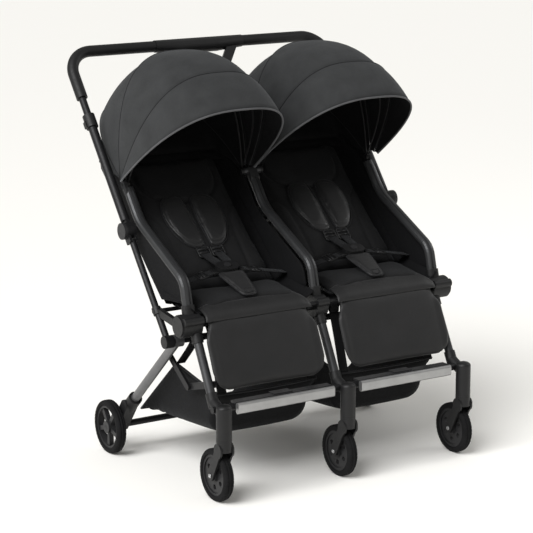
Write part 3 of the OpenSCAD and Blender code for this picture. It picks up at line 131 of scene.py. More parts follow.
def set_inputs(node, values):
    """Sets a node's inputs, and links those whose value is another node's output."""
    for key, value in values.items():
        if isinstance(value, bpy.types.NodeSocket):
            node.id_data.links.new(value, node.inputs[key])
        else:
            node.inputs[key].default_value = value
    return node


def add_node(tree, kind, inputs={}, **values):
    return set_inputs(set_all(tree.nodes.new("ShaderNode" + kind), **values), inputs)


def coordinates(tree, scale=(1, 1, 1), turn=(0, 0, 0)):
    place = add_node(tree, "TexCoord").outputs["Object"]
    return add_node(tree, "Mapping", {"Vector": place, "Scale": scale, "Rotation": turn}).outputs["Vector"]


def noise_value(tree, scale, detail=4, stretch=(1, 1, 1)):
    inputs = {"Vector": coordinates(tree, stretch), "Scale": scale, "Detail": detail}
    return add_node(tree, "TexNoise", inputs).outputs["Fac"]


def in_range(tree, value, low, high):
    inputs = {"Value": value, "From Min": NOISE_LOW, "From Max": NOISE_HIGH, "To Min": low, "To Max": high}
    return add_node(tree, "MapRange", inputs).outputs["Result"]


def tinted(tree, value, dark, light):
    ramp = add_node(tree, "ValToRGB", {"Fac": value})
    for element, position, colour in zip(ramp.color_ramp.elements, (NOISE_LOW, NOISE_HIGH), (dark, light)):
        element.position = position
        element.color = (*colour, 1)
    return ramp.outputs["Color"]


def bumped(tree, shader, value, strength, distance):
    bump = add_node(tree, "Bump", {"Height": value, "Strength": strength, "Distance": distance})
    set_inputs(shader, {"Normal": bump.outputs["Normal"]})


def scaled(colour, share):
    return tuple(min(1.0, c * share) for c in colour)


def base_material(name, colour, rough, metal=0.0, spread=0.18, blotch=24, shine=0.3):
    """Uneven colour and roughness; shine is the specular level."""
    material = bpy.data.materials.new(name)
    material.use_nodes = True
    tree = material.node_tree
    tone, grain = noise_value(tree, blotch, 5), noise_value(tree, blotch * 6, 3)
    shader = set_inputs(tree.nodes["Principled BSDF"], {
        "Metallic": metal, "Specular IOR Level": shine,
        "Base Color": tinted(tree, tone, scaled(colour, 1 - spread), scaled(colour, 1 + spread)),
        "Roughness": in_range(tree, grain, rough - ROUGH_SPREAD, rough + ROUGH_SPREAD)})
    return material, tree, shader


def wave(tree, period, turn):
    inputs = {"Vector": coordinates(tree, turn=turn), "Scale": BANDS_PER_METRE / period, "Distortion": 0.4,
              "Detail": 1}
    return add_node(tree, "TexWave", inputs, wave_type="BANDS", bands_direction="X").outputs["Fac"]


def mixed(tree, operation, a, b):
    return add_node(tree, "Math", {0: a, 1: b}, operation=operation).outputs["Value"]


def cloth_material(name, colour, period, sheen, rough=0.82, strength=0.35):
    """Woven cloth: two crossed sets of threads, a soft sheen and slightly uneven dye."""
    material, tree, shader = base_material(name, colour, rough, spread=0.14, shine=0.12)
    warp = wave(tree, period, (0.4, 0.7, 0.6))
    weft = wave(tree, period, (-0.6, 0.5, 2.2))
    bumped(tree, shader, mixed(tree, "MAXIMUM", warp, weft), strength, period * 0.4)
    set_inputs(shader, {"Sheen Weight": sheen, "Sheen Roughness": 0.45, "Sheen Tint": (0.75, 0.78, 0.82, 1)})
    return material


def leather_material(name, colour, rough, sheen=0.0):
    """Coated cloth with a fine pebbled grain."""
    material, tree, shader = base_material(name, colour, rough, spread=0.12)
    cells = add_node(tree, "TexVoronoi", {"Vector": coordinates(tree), "Scale": 620})
    pebbles = mixed(tree, "ADD", cells.outputs["Distance"], noise_value(tree, 900, 2))
    bumped(tree, shader, pebbles, 0.16, 0.0006)
    set_inputs(shader, {"Sheen Weight": sheen})
    return material


def plastic_material(name, colour, rough):
    """Moulded plastic with a fine spark-eroded texture."""
    material, tree, shader = base_material(name, colour, rough, spread=0.1)
    bumped(tree, shader, noise_value(tree, 1400, 2), 0.22, 0.0004)
    return material


def metal_material(name, colour, rough, metal, stretch):
    """Drawn or brushed metal: fine lines along the tube."""
    material, tree, shader = base_material(name, colour, rough, metal=metal, spread=0.08)
    bumped(tree, shader, noise_value(tree, 300, 3, stretch), 0.12, 0.0003)
    return material


def rubber_material(name, colour):
    """Dull rubber with an uneven face."""
    material, tree, shader = base_material(name, colour, 0.86, spread=0.25, blotch=40, shine=0.15)
    bumped(tree, shader, noise_value(tree, 700, 4), 0.3, 0.0006)
    return material


CANOPY = cloth_material("canopy_cloth", (0.031, 0.032, 0.033), 0.0011, 0.08, strength=0.3)
LINING = cloth_material("canopy_lining", (0.005, 0.005, 0.0055), 0.0012, 0.02)
SEAT = cloth_material("seat_cloth", (0.012, 0.012, 0.0125), 0.0013, 0.05)
SIDE = cloth_material("side_cloth", (0.005, 0.005, 0.0055), 0.0014, 0.03)
PAD = leather_material("pad_cover", (0.014, 0.014, 0.0145), 0.42, 0.05)
CALF = leather_material("calf_cover", (0.011, 0.011, 0.0115), 0.5, 0.05)
PIPING = cloth_material("piping", (0.014, 0.014, 0.015), 0.0010, 0.1, rough=0.6)
BINDING = cloth_material("edge_binding", (0.075, 0.075, 0.078), 0.0010, 0.2, rough=0.65)
WEBBING = cloth_material("webbing", (0.007, 0.007, 0.0075), 0.0018, 0.08, strength=0.6)
BASKET = cloth_material("basket_cloth", (0.006, 0.006, 0.0065), 0.0020, 0.05, strength=0.6)
DARK_METAL = metal_material("frame_metal", (0.050, 0.051, 0.053), 0.40, 0.6, (1, 0.1, 0.1))
UPRIGHT_METAL = metal_material("upright_metal", (0.013, 0.013, 0.014), 0.42, 0.4, (1, 0.1, 0.1))
LEG_METAL = metal_material("leg_metal", (0.17, 0.17, 0.175), 0.38, 0.8, (1, 0.1, 0.1))
FOOT_METAL = metal_material("footrest_metal", (0.36, 0.36, 0.36), 0.38, 0.85, (0.06, 1, 1))
STEEL = metal_material("pin_steel", (0.45, 0.45, 0.46), 0.3, 1.0, (1, 1, 1))
PLASTIC = plastic_material("dark_plastic", (0.009, 0.009, 0.0095), 0.45)
GREY_PLASTIC = plastic_material("grey_plastic", (0.017, 0.017, 0.018), 0.45)
GRIP = leather_material("grip_cover", (0.007, 0.007, 0.0075), 0.5)
TYRE = rubber_material("tyre", (0.007, 0.007, 0.0075))

NODE_MATERIALS = (
    (DARK_METAL, ("seat_rails", "front_legs")),
    (UPRIGHT_METAL, ("lower_uprights", "upper_uprights", "cross_tubes", "pivot_pins", "footrest_rod", "push_bar",
                     "handle_stem", "rear_axle", "brace_rear_links", "brace_front_links")),
    (LEG_METAL, ("rear_legs",)),
    (FOOT_METAL, ("footrest_bars",)),
    (PLASTIC, ("main_hubs", "hub_caps", "caster_housings", "buckles", "handle_collars", "handle_block",
               "rear_brackets", "brake_pedal", "caster_fork_left", "caster_fork_mid", "caster_fork_right")),
    (GREY_PLASTIC, ("fold_hub_caps", "footrest_treads", "buckle_button_left", "buckle_button_right", "fold_button",
                    "rear_rim_left", "rear_rim_right", "front_rim_left", "front_rim_mid", "front_rim_right")),
    (GRIP, ("grip_covers",)),
    (SIDE, ("seat_bases",)),
    (TYRE, ("rear_tyre_left", "rear_tyre_right", "front_tyre_left", "front_tyre_mid", "front_tyre_right")),
)
for node_material, node_names in NODE_MATERIALS:
    for node_name in node_names:
        mesh = NODES[node_name].data
        mesh.materials.clear()
        mesh.materials.append(node_material)


# Mesh helpers

def finish_mesh(name, bm, *materials, smooth=True):
    bmesh.ops.recalc_face_normals(bm, faces=bm.faces)
    mesh = bpy.data.meshes.new(name)
    bm.to_mesh(mesh)
    bm.free()
    for polygon in mesh.polygons:
        polygon.use_smooth = smooth
    for material in materials:
        mesh.materials.append(material)
    piece = bpy.data.objects.new(name, mesh)
    bpy.context.scene.collection.objects.link(piece)
    return piece


def grid(name, rows, *materials):
    """An open sheet through rows of points."""
    bm = bmesh.new()
    points = [[bm.verts.new(p) for p in row] for row in rows]
    for a, b in zip(points, points[1:]):
        for i in range(len(a) - 1):
            bm.faces.new((a[i], a[i + 1], b[i + 1], b[i]))
    bmesh.ops.remove_doubles(bm, verts=bm.verts, dist=1e-5)
    return finish_mesh(name, bm, *materials)


def lattice(point, rows, columns):
    """Rows of points, from the shares of the way across the rows and along each."""
    return [[point(j / rows, k / columns) for k in range(columns + 1)] for j in range(rows + 1)]


def join_rings(bm, rings, closed=False):
    for a, b in zip(rings, rings[1:] + rings[:1] if closed else rings[1:]):
        for k in range(len(a)):
            after = (k + 1) % len(a)
            bm.faces.new((a[k], a[after], b[after], b[k]))


def sweep(name, path, up, section, material, closed=False):
    """A section carried along a path; its second axis stays near up, which may be a list."""
    bm = bmesh.new()
    count = len(path)
    rings = []
    for i, p in enumerate(path):
        before = path[i - 1] if i or closed else p
        after = path[(i + 1) % count] if i < count - 1 or closed else p
        tangent = (after - before).normalized()
        lean = up[i] if isinstance(up, list) else up
        side = tangent.cross(lean).normalized()
        top = side.cross(tangent)
        rings.append([bm.verts.new(p + side * a + top * b) for a, b in section])
    join_rings(bm, rings, closed)
    if not closed:
        bm.faces.new(rings[0])
        bm.faces.new(rings[-1])
    return finish_mesh(name, bm, material)


def circle(radius, count=12):
    turns = [2 * math.pi * k / count for k in range(count)]
    return [(radius * math.cos(a), radius * math.sin(a)) for a in turns]


def flat_section(width, thickness, round_share=0.45):
    """A band's section with rounded edges."""
    r = thickness * round_share
    points = []
    for sx, sy, start in ((1, 1, 0), (-1, 1, 90), (-1, -1, 180), (1, -1, 270)):
        for k in range(4):
            a = math.radians(start + 30 * k)
            points.append((sx * (width / 2 - r) + r * math.cos(a), sy * (thickness / 2 - r) + r * math.sin(a)))
    return points


def smooth_path(points, steps=8):
    """A smooth curve through the points."""
    points = [Vector(p) for p in points]
    ends = [2 * points[0] - points[1]] + points + [2 * points[-1] - points[-2]]
    path = []
    for a, b, c, d in zip(ends, ends[1:], ends[2:], ends[3:]):
        for k in range(steps):
            t = k / steps
            path.append(0.5 * (2 * b + (c - a) * t + (2 * a - 5 * b + 4 * c - d) * t * t
                               + (3 * b - a - 3 * c + d) * t * t * t))
    return path + [points[-1]]


def modifier(piece, kind, **values):
    return set_all(piece.modifiers.new(kind.lower(), kind), **values)


def apply_modifiers(piece):
    bpy.context.view_layer.update()
    shape = piece.evaluated_get(bpy.context.evaluated_depsgraph_get())
    mesh = bpy.data.meshes.new_from_object(shape)
    piece.modifiers.clear()
    piece.data = mesh
    return piece


# Padded pieces

def rounded_outline(half, low, high, corner_low, corner_high, draw=4, steps=10):
    """A rectangle with rounded corners whose sides pull in a little between them."""
    points = []
    for sx, y, r, start in ((1, high, corner_high, 0), (-1, high, corner_high, 90),
                            (-1, low, corner_low, 180), (1, low, corner_low, 270)):
        sy = 1 if y == high else -1
        for k in range(steps + 1):
            a = math.radians(start + 90 * k / steps)
            points.append((sx * (half - r) + r * math.cos(a), y - sy * r + r * math.sin(a)))
    dense = []
    for p, q in zip(points, points[1:] + points[:1]):
        count = max(1, round(math.dist(p, q) / 9))
        for k in range(count):
            dense.append((p[0] + (q[0] - p[0]) * k / count, p[1] + (q[1] - p[1]) * k / count))
    middle, reach = (low + high) / 2, (high - low) / 2
    pulled = []
    for x, y in dense:
        u, v = x / half, (y - middle) / reach
        pulled.append((x - draw * u * max(0, 1 - v * v) * abs(u) ** 6,
                       y - draw * v * max(0, 1 - u * u) * abs(v) ** 6))
    return pulled


def inset(outline, share):
    """The outline drawn in towards its middle."""
    cx = sum(p[0] for p in outline) / len(outline)
    cy = sum(p[1] for p in outline) / len(outline)
    return [(cx + (x - cx) * share, cy + (y - cy) * share) for x, y in outline]


def pad_mesh(name, outline, base, thickness, edge=0.42, rings=16, power=3.2):
    """A crowned closed form over an outline, in local millimetres."""
    bm = bmesh.new()
    mid = base + thickness * edge

    def ring(share, height):
        return [bm.verts.new((x, y, height)) for x, y in inset(outline, share)]

    shares = [1 - (1 - k / rings) ** 1.7 for k in range(1, rings + 1)]
    tops = [ring(s, mid + (base + thickness - mid) * (1 - s ** power) ** 0.5) for s in shares]
    lows = [ring(s, mid - (mid - base) * (1 - s ** (2 * power)) ** 0.5) for s in shares[:-1]]
    n = len(outline)
    for stack in (tops, lows + [tops[-1]]):
        join_rings(bm, stack)
        centre = bm.verts.new((*inset(outline, 0)[0], base + thickness if stack is tops else base))
        for k in range(n):
            bm.faces.new((centre, stack[0][k], stack[0][(k + 1) % n]))
    return finish_mesh(name, bm)


def puff(piece, voxel, cap, pressure=4.0, frames=20):
    """Fills a pad with air as cloth, in metres, and keeps each point within cap of its start."""
    scene = bpy.context.scene
    piece.data.transform(Matrix.Scale(MM, 4))
    modifier(piece, "REMESH", mode="VOXEL", voxel_size=voxel, use_smooth_shade=True)
    apply_modifiers(piece)
    start = [v.co.copy() for v in piece.data.vertices]
    cloth = modifier(piece, "CLOTH")
    set_all(cloth.settings, use_pressure=True, uniform_pressure_force=pressure, quality=6, mass=0.3,
            tension_stiffness=18, compression_stiffness=18, bending_stiffness=0.6)
    cloth.settings.effector_weights.gravity = 0
    set_all(cloth.point_cache, frame_start=1, frame_end=frames)
    set_all(scene, frame_start=1, frame_end=frames)
    for f in range(1, frames + 1):
        scene.frame_set(f)
    apply_modifiers(piece)
    scene.frame_set(1)
    for v, s in zip(piece.data.vertices, start):
        move = v.co - s
        if move.length > cap:
            v.co = s + move.normalized() * cap
    piece.data.transform(Matrix.Scale(1 / MM, 4))


def smooth(piece, rounds):
    """Evens out small folds of a filled pad."""
    bm = bmesh.new()
    bm.from_mesh(piece.data)
    for _ in range(rounds):
        bmesh.ops.smooth_vert(bm, verts=bm.verts, factor=0.5, use_axis_x=True, use_axis_y=True, use_axis_z=True)
    bm.to_mesh(piece.data)
    bm.free()


def sink(piece, depth_at):
    """Presses sewn lines into a pad's face; depth_at gives the depth at a local point."""
    normals = [v.normal.copy() for v in piece.data.vertices]
    for v, n in zip(piece.data.vertices, normals):
        if n.z > 0.15:
            v.co.z -= depth_at(v.co.x, v.co.y) * min(1, n.z * 1.4)


def line_distance(x, y, line):
    best = 1e9
    p = Vector((x, y))
    for a, b in zip(line, line[1:]):
        d = b - a
        t = max(0, min(1, (p - a).dot(d) / d.length_squared))
        best = min(best, (p - a - d * t).length)
    return best


def groove(distance, width, depth):
    return depth * math.exp(-(distance / width) ** 2)


def eased_share(value, low, high):
    t = max(0, min(1, (value - low) / (high - low)))
    return t * t * (3 - 2 * t)


def on_body(piece, body):
    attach(piece, body)
    return piece


def placed(name, source, matrix, material, body, node=None, level=1):
    """A copy of a local pad at its place, riding on its body."""
    mesh = source.data.copy()
    mesh.transform(matrix)
    if matrix.determinant() < 0:
        mesh.flip_normals()
    mesh.materials.clear()
    mesh.materials.append(material)
    for polygon in mesh.polygons:
        polygon.use_smooth = True
    piece = bpy.data.objects.new(name, mesh)
    bpy.context.scene.collection.objects.link(piece)
    if level:
        modifier(piece, "SUBSURF", levels=level, render_levels=level)
    on_body(piece, body)
    if node:
        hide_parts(node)


def in_metres(section):
    return [(a * MM, b * MM) for a, b in section]


def local_sweep(name, matrix, path, section, material, body, closed=False):
    """A swept piece given in a local frame, in millimetres, whose section stands along z."""
    points = [matrix @ Vector(p) for p in path]
    lean = (matrix.to_3x3() @ Vector((0, 0, 1))).normalized()
    on_body(sweep(name, points, lean, in_metres(section), material, closed), body)


SEAT_HALF = 145
PAD_HALF = SEAT_HALF - 2
BACK_LOW, BACK_HIGH = 54, 428
SEAT_FRONT, SEAT_REAR = -8, 121
HEAD_HALF, HEAD_Y, HEAD_DROP = 110, 372, 88
TOP_SEAM_Y = 412
CALF_HALF, CALF_NECK = 158, 141
CALF_HIGH, CALF_LOW = -9, 173
HARNESS_PAD_T = 10
PIPING_Z = 4.4
SEAM_SHARE = 0.84
VOXEL, FINE_VOXEL = 0.005, 0.003


def signed_power(value, power):
    return math.copysign(abs(value) ** power, value)


HEAD_LINE = [Vector((HEAD_HALF * signed_power(math.cos(a), 0.65), HEAD_Y - HEAD_DROP * math.sin(a)))
             for a in [math.pi * k / 24 for k in range(25)]]
SIDE_LINE = [Vector((x, y)) for x, y in
             ((145, 268), (122, 262), (104, 246), (94, 220), (90, 180), (88, 130), (88, 56))]


def back_seams(x, y):
    """Depth of the backrest's sewn lines; the head area stands proud inside its own."""
    head = line_distance(x, y, HEAD_LINE)
    side = line_distance(abs(x), y, SIDE_LINE)
    bow = math.sqrt(max(0, 1 - (abs(x) / (HEAD_HALF - 2)) ** 2.6))
    inside = abs(x) < HEAD_HALF - 4 and y > HEAD_Y - (HEAD_DROP - 2) * bow
    seams = groove(head, 4.5, 6) + groove(side, 4, 5) + groove(abs(y - TOP_SEAM_Y), 3.5, 3.5)
    return seams - (3 if inside else 0)


def make_back_pad():
    outline = rounded_outline(PAD_HALF, BACK_LOW, BACK_HIGH, 22, 26)
    pad = pad_mesh("back_pad_form", outline, 2.4, 17, rings=22)
    puff(pad, VOXEL, 0.006)
    sink(pad, back_seams)
    return pad


def make_seat_pad():
    outline = rounded_outline(PAD_HALF, SEAT_FRONT, SEAT_REAR, 18, 18)
    pad = pad_mesh("seat_pad_form", outline, 13.8, 27, rings=16)
    puff(pad, VOXEL, 0.006)
    return pad


def make_calf_pad():
    """Narrow between the hubs, wider below them, with its sides lifted off the legs."""
    outline = [(x * (CALF_NECK + (CALF_HALF - CALF_NECK) * eased_share(y, 14, 46)) / CALF_HALF, y)
               for x, y in rounded_outline(CALF_HALF, CALF_HIGH, CALF_LOW, 16, 48, draw=2)]
    pad = pad_mesh("calf_pad_form", outline, -11.5, 22, edge=0.45, rings=18, power=5)
    puff(pad, VOXEL, 0.0025, pressure=1.5)
    smooth(pad, 16)
    for v in pad.data.vertices:
        v.co.z += 6 * eased_share(abs(v.co.x), 126, 146)
    return pad


def closed_outline(points):
    """A smooth closed outline through flat points."""
    path = smooth_path([Vector((x, y, 0)) for x, y in points + points[:1]], 5)[:-1]
    return [(p.x, p.y) for p in path]


def make_harness_pad(name, outline):
    """A thin pad with a seam sewn inside its edge."""
    pad = pad_mesh(name, outline, 0.2, HARNESS_PAD_T, rings=12, power=4)
    puff(pad, FINE_VOXEL, 0.0025, pressure=3)
    seam = [Vector(p) for p in inset(outline, SEAM_SHARE)]
    seam.append(seam[0])
    sink(pad, lambda x, y: groove(line_distance(x, y, seam), 2, 1.5))
    return pad


# The shoulder pad's outer side is bowed, and the crotch pad widens towards the buckle
SHOULDER_OUTLINE = closed_outline([
    (-24, 4), (-8, 0), (9, 4), (27, 20), (41, 50), (48, 86), (46, 118), (36, 144), (17, 157), (-5, 158), (-19, 150),
    (-25, 130), (-28, 92), (-27, 44)])
CROTCH_SIDE = [(13, 1), (20, 9), (24, 30), (30, 66), (33, 90), (26, 100)]
CROTCH_OUTLINE = closed_outline([(0, 0)] + CROTCH_SIDE + [(0, 101)] + [(-x, y) for x, y in CROTCH_SIDE[::-1]])

back_form = make_back_pad()
seat_form = make_seat_pad()
calf_form = make_calf_pad()
shoulder_form = make_harness_pad("shoulder_form", SHOULDER_OUTLINE)
crotch_form = make_harness_pad("crotch_form", CROTCH_OUTLINE)


def piping(name, matrix, outline, radius, body):
    local_sweep(name, matrix, [(x, y, PIPING_Z) for x, y in outline], circle(radius, 8), PIPING, body,
                closed=True)


for side, s in SIDES:
    x = s * SEAT_X
    on_back, on_calf = "backrest_" + side, "calf_" + side
    placed("back_cushion_" + side, back_form, back_frame(x), SEAT, on_back, "backrest_" + side)
    placed("seat_cushion_" + side, seat_form, seat_frame(x), SEAT, "chassis", "seat_pads")
    placed("calf_pad_" + side, calf_form, calf_frame(x), CALF, on_calf, "calf_rest_" + side)
    for word, place in PLACES:
        turn = back_frame(x) @ Matrix.Translation((place * 33, 142, 22.5)) @ Matrix.Diagonal((place, 1, 1, 1))
        placed(f"shoulder_pad_{side}_{word}", shoulder_form, turn, PAD, on_back,
               "shoulder_pads_" + side)
        piping(f"shoulder_piping_{side}_{word}", turn, SHOULDER_OUTLINE, 1.5, on_back)
    placed("crotch_pad_" + side, crotch_form, crotch_frame(x), PAD, "chassis", "crotch_pads")
    piping("crotch_piping_" + side, crotch_frame(x), CROTCH_OUTLINE, 1.4, "chassis")
for form in (back_form, seat_form, calf_form, shoulder_form, crotch_form):
    bpy.data.objects.remove(form)


# Sheets of cloth

def thicken(piece, thickness, offset=0.0, lining=0):
    modifier(piece, "SOLIDIFY", thickness=thickness * MM, offset=offset, material_offset=lining, use_rim=True)
    return apply_modifiers(piece)


def seat_sheet(name, rows, material, thickness, node=None, blend=None):
    """Cloth on the chassis, or, when blend is given, left unattached in the row frame."""
    piece = thicken(grid(name, rows, material), thickness)
    if blend:
        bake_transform(piece)
    else:
        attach(piece, "chassis")
    if node:
        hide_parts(node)


# Canopies: each hoop has an angle about the pivot, a half width and a crown radius

HOOP_POWER = 2.7
REAR_HOOP = (34, 168, 295)
MID_HOOP = (83.75, 177, 308)
FRONT_HOOP = (120.75, 181, 319)
RIM_HOOP = (144, 185, 343)
MID_BOW = (84, 161, 277.6)
FRONT_BOW = (121, 157.3, 270.2)
HOOP_FIRST = 1.2
BOW_FIRST = 0.4
BOW_R = 1.7
PANEL_LAP = 5
UNDER_TURN = 1.5
HEM = 4.2
HEM_TURN = 0.2
REAR_SAG = 10
FOOT_HALF = 165
CURTAIN_FOOT = BACK_PIVOT + 439 * BACK_DIR + 10 * Vector((-BACK_DIR.y, BACK_DIR.x))
CURTAIN_ROWS = 6
CANOPY_CLOTH_T = 1.2
HOOP_LEAN = Vector((1, 0.3, 0.2))


def hoop_point(x, angle, half, crown, t):
    """A point of a hoop about the canopy's pivot; t runs from 0 to 180 degrees across."""
    c, s = math.cos(math.radians(t)), math.sin(math.radians(t))
    across = half * signed_power(c, 2 / HOOP_POWER)
    out = crown * max(0, s) ** (2 / HOOP_POWER)
    a = math.radians(angle)
    return Vector((x + across, CANOPY_PIVOT.x + out * math.cos(a), CANOPY_PIVOT.y + out * math.sin(a))) * MM


def hoop_columns(count=56, first=HOOP_FIRST):
    return [first + (180 - 2 * first) * i / count for i in range(count + 1)]


def curtain_foot(x, t):
    """Where the rear curtain ends, behind the backrest's top."""
    across = hoop_point(x, REAR_HOOP[0], FOOT_HALF, REAR_HOOP[2], t).x
    return Vector((across, CURTAIN_FOOT.x * MM, CURTAIN_FOOT.y * MM))


def under(hoop):
    """The hoop under the next panel, where a panel's front edge ends."""
    return hoop[0] + UNDER_TURN, hoop[1] - PANEL_LAP, hoop[2] - PANEL_LAP


def canopy_rows(x, low, high, count, sag=0, hem=False):
    """Rows of a panel from one hoop to another, after the rows of the hem at its first edge."""
    rows = []
    if hem:
        for inset in (HEM, HEM / 2, 0.4):
            rows.append([hoop_point(x, low[0], low[1] - inset, low[2] - inset, t) for t in hoop_columns()])
    for j in range(count + 1):
        share = j / count
        angle, half, crown = [p + (q - p) * share for p, q in zip(low, high)]
        dip = sag * 4 * share * (1 - share)
        turn = HEM_TURN if hem and j == 0 else 0
        rows.append([hoop_point(x, angle + turn, half, crown - dip, t) for t in hoop_columns()])
    return rows


def hoop_sweep(name, x, hoop, inset, first, radius, material, body):
    angle, half, crown = hoop
    line = [hoop_point(x, angle, half - inset, crown - inset, t) for t in hoop_columns(72, first)]
    on_body(sweep(name, line, HOOP_LEAN, circle(radius * MM, 8), material), body)


def canopy_sheet(name, rows, body, node):
    piece = thicken(grid(name, rows, CANOPY, LINING), CANOPY_CLOTH_T, -1, 1)
    on_body(piece, body)
    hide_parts(node)
    return piece


for side, s in SIDES:
    x = s * CANOPY_X
    on_mid, on_front = "canopy_mid_" + side, "canopy_front_" + side
    rear_rows = canopy_rows(x, REAR_HOOP, under(MID_HOOP), 12, REAR_SAG)
    foot = [curtain_foot(x, t) for t in hoop_columns()]
    drop = [[f + (r - f) * k / CURTAIN_ROWS for f, r in zip(foot, rear_rows[0])] for k in range(CURTAIN_ROWS)]
    rear = canopy_sheet("canopy_rear_" + side, drop + rear_rows, "chassis", "canopy_rears")
    mid = canopy_sheet("canopy_middle_" + side, canopy_rows(x, MID_HOOP, under(FRONT_HOOP), 8, hem=True),
                       on_mid, "canopy_mid_" + side)
    visor = canopy_sheet("canopy_visor_" + side, canopy_rows(x, FRONT_HOOP, RIM_HOOP, 8, hem=True),
                         on_front, "canopy_front_" + side)
    for word, hoop, body, radius, material in (
            ("rear", REAR_HOOP, "chassis", 1.5, PIPING), ("middle", MID_HOOP, on_mid, 1.6, PIPING),
            ("front", FRONT_HOOP, on_front, 1.6, PIPING), ("rim", RIM_HOOP, on_front, 2.2, BINDING)):
        hoop_sweep(f"canopy_{word}_piping_{side}", x, hoop, 0.4, HOOP_FIRST, radius, material, body)
    for word, hoop, body in (("middle", MID_BOW, on_mid), ("front", FRONT_BOW, on_front)):
        hoop_sweep(f"canopy_{word}_bow_{side}", x, hoop, 0, BOW_FIRST, BOW_R, PLASTIC, body)


# Seat sides

def unit(v):
    return v / v.length


def right_of(d):
    return Vector((d.y, -d.x))


def corner(p, d0, d1, gap):
    """Where two lines beside the rail meet."""
    a, b = p + gap * right_of(d0), p + gap * right_of(d1)
    cross = d0.x * d1.y - d0.y * d1.x
    t = ((b - a).x * d1.y - (b - a).y * d1.x) / cross
    return a + t * d0


def resample(points, count):
    lengths = [0]
    for a, b in zip(points, points[1:]):
        lengths.append(lengths[-1] + (b - a).length)
    made = []
    for k in range(count + 1):
        want = lengths[-1] * k / count
        i = max(j for j in range(len(points) - 1) if lengths[j] <= want + 1e-9)
        span = max(1e-9, lengths[i + 1] - lengths[i])
        made.append(points[i] + (points[i + 1] - points[i]) * ((want - lengths[i]) / span))
    return made


def eased(points, rounds):
    for _ in range(rounds):
        inner = [(a + 2 * b + c) / 4 for a, b, c in zip(points, points[1:], points[2:])]
        points = [points[0]] + inner + [points[-1]]
    return points


KNEE_DIR = unit(KNEE - HUB)
TOP_DIR = unit(SHOULDER - KNEE)
PANEL_TOP = CURTAIN_FOOT + Vector((2, 16))
PANEL_CORNER = CANOPY_PIVOT + 12 * right_of(UP)
PANEL_GAP = 10.3
EDGE_STEPS = 40
# A panel's edges along the rail and along the backrest, from bottom to top
RAIL_EDGE = eased(resample([HUB + 48 * KNEE_DIR + PANEL_GAP * right_of(KNEE_DIR),
                            corner(KNEE, KNEE_DIR, TOP_DIR, PANEL_GAP), corner(SHOULDER, TOP_DIR, UP, PANEL_GAP),
                            PANEL_CORNER], EDGE_STEPS), 6)
BACK_EDGE = resample([BACK_PIVOT + 30 * BACK_DIR, BACK_PIVOT + 430 * BACK_DIR, PANEL_TOP], EDGE_STEPS)


def side_panel(name, x, inward):
    def point(share, along):
        i = round(along * EDGE_STEPS)
        wave_in = 1.6 * math.sin(math.pi * share) * (0.6 + 0.4 * math.sin(i * 0.5))
        return side_point(x + inward * wave_in, RAIL_EDGE[i] + (BACK_EDGE[i] - RAIL_EDGE[i]) * share)

    seat_sheet(name, lattice(point, 16, EDGE_STEPS), SIDE, 3, node="seat_sides")


def canopy_skirt(name, x, panel_x, t):
    """Closes the wedge between a side panel's top edge and the curtain's side."""
    hoop_end, foot_end = hoop_point(x, *REAR_HOOP, t), curtain_foot(x, t)

    def point(share, along):
        low = side_point(panel_x, PANEL_CORNER + (PANEL_TOP - PANEL_CORNER) * along)
        high = hoop_end + (foot_end - hoop_end) * along
        return low + (high - low) * share

    seat_sheet(name, lattice(point, 4, 14), SIDE, 1.5)


for side, s in SIDES:
    ends = (HOOP_FIRST, 180 - HOOP_FIRST)
    outer_t, inner_t = ends if s > 0 else ends[::-1]
    side_panel("side_panel_outer_" + side, s * RAIL_X, -s)
    side_panel("side_panel_inner_" + side, s * INNER_PANEL_X, s)
    canopy_skirt("canopy_skirt_outer_" + side, s * CANOPY_X, s * RAIL_X, outer_t)
    canopy_skirt("canopy_skirt_inner_" + side, s * CANOPY_X, s * INNER_PANEL_X, inner_t)


# Baskets

BASKET_LIP, BASKET_TOP = Vector((-232, 231)), Vector((-43, 263))
BASKET_BEND, BASKET_REAR = Vector((-190, 127)), Vector((144, 103))
BASKET_FLOOR_HALF, BASKET_TOP_HALF = 132, 136
BASKET_STATIONS = (-232, -225, -215, -205, -197, -190, -183, -173, -155, -125, -85, -43, -5, 35, 80, 115, 144)
HANGER_X = 123.5


def basket_half(z):
    share = (z - BASKET_BEND.y) / (BASKET_TOP.y - BASKET_BEND.y)
    return BASKET_FLOOR_HALF + (BASKET_TOP_HALF - BASKET_FLOOR_HALF) * share


def height_at(y, p, q):
    """The height at y on the line from p to q."""
    return p.y + (q.y - p.y) * (y - p.x) / (q.x - p.x)


def basket_heights(y):
    """The sagging floor and the open edge at a place along the basket."""
    if y <= BASKET_BEND.x:
        floor = height_at(y, BASKET_LIP, BASKET_BEND)
    else:
        share = (y - BASKET_BEND.x) / (BASKET_REAR.x - BASKET_BEND.x)
        floor = height_at(y, BASKET_BEND, BASKET_REAR) - 4 * math.sin(math.pi * share)
    top = height_at(y, BASKET_LIP, BASKET_TOP) if y <= BASKET_TOP.x else height_at(y, BASKET_TOP, BASKET_REAR)
    return floor, max(top, floor)


def basket_rows(x):
    rows = []
    for y in BASKET_STATIONS:
        floor, top = basket_heights(y)
        wall, base = basket_half(top), basket_half(floor)
        corner_r = min(22, (top - floor) * 0.5)
        bend = [Vector((-wall, top)), Vector((-base, floor + corner_r)), Vector((-base + corner_r, floor)),
                Vector((base - corner_r, floor)), Vector((base, floor + corner_r)), Vector((wall, top))]
        line = eased(resample([bend[0], bend[1] + (bend[0] - bend[1]) * 0.001] + bend[1:], 48), 3)
        row = []
        for p in line:
            sag = 3 * math.cos(math.pi * min(1, abs(p.x) / base) / 2) if p.y < floor + 2 else 0
            row.append(Vector((x + p.x, y, p.y - sag)) * MM)
        rows.append(row)
    return rows


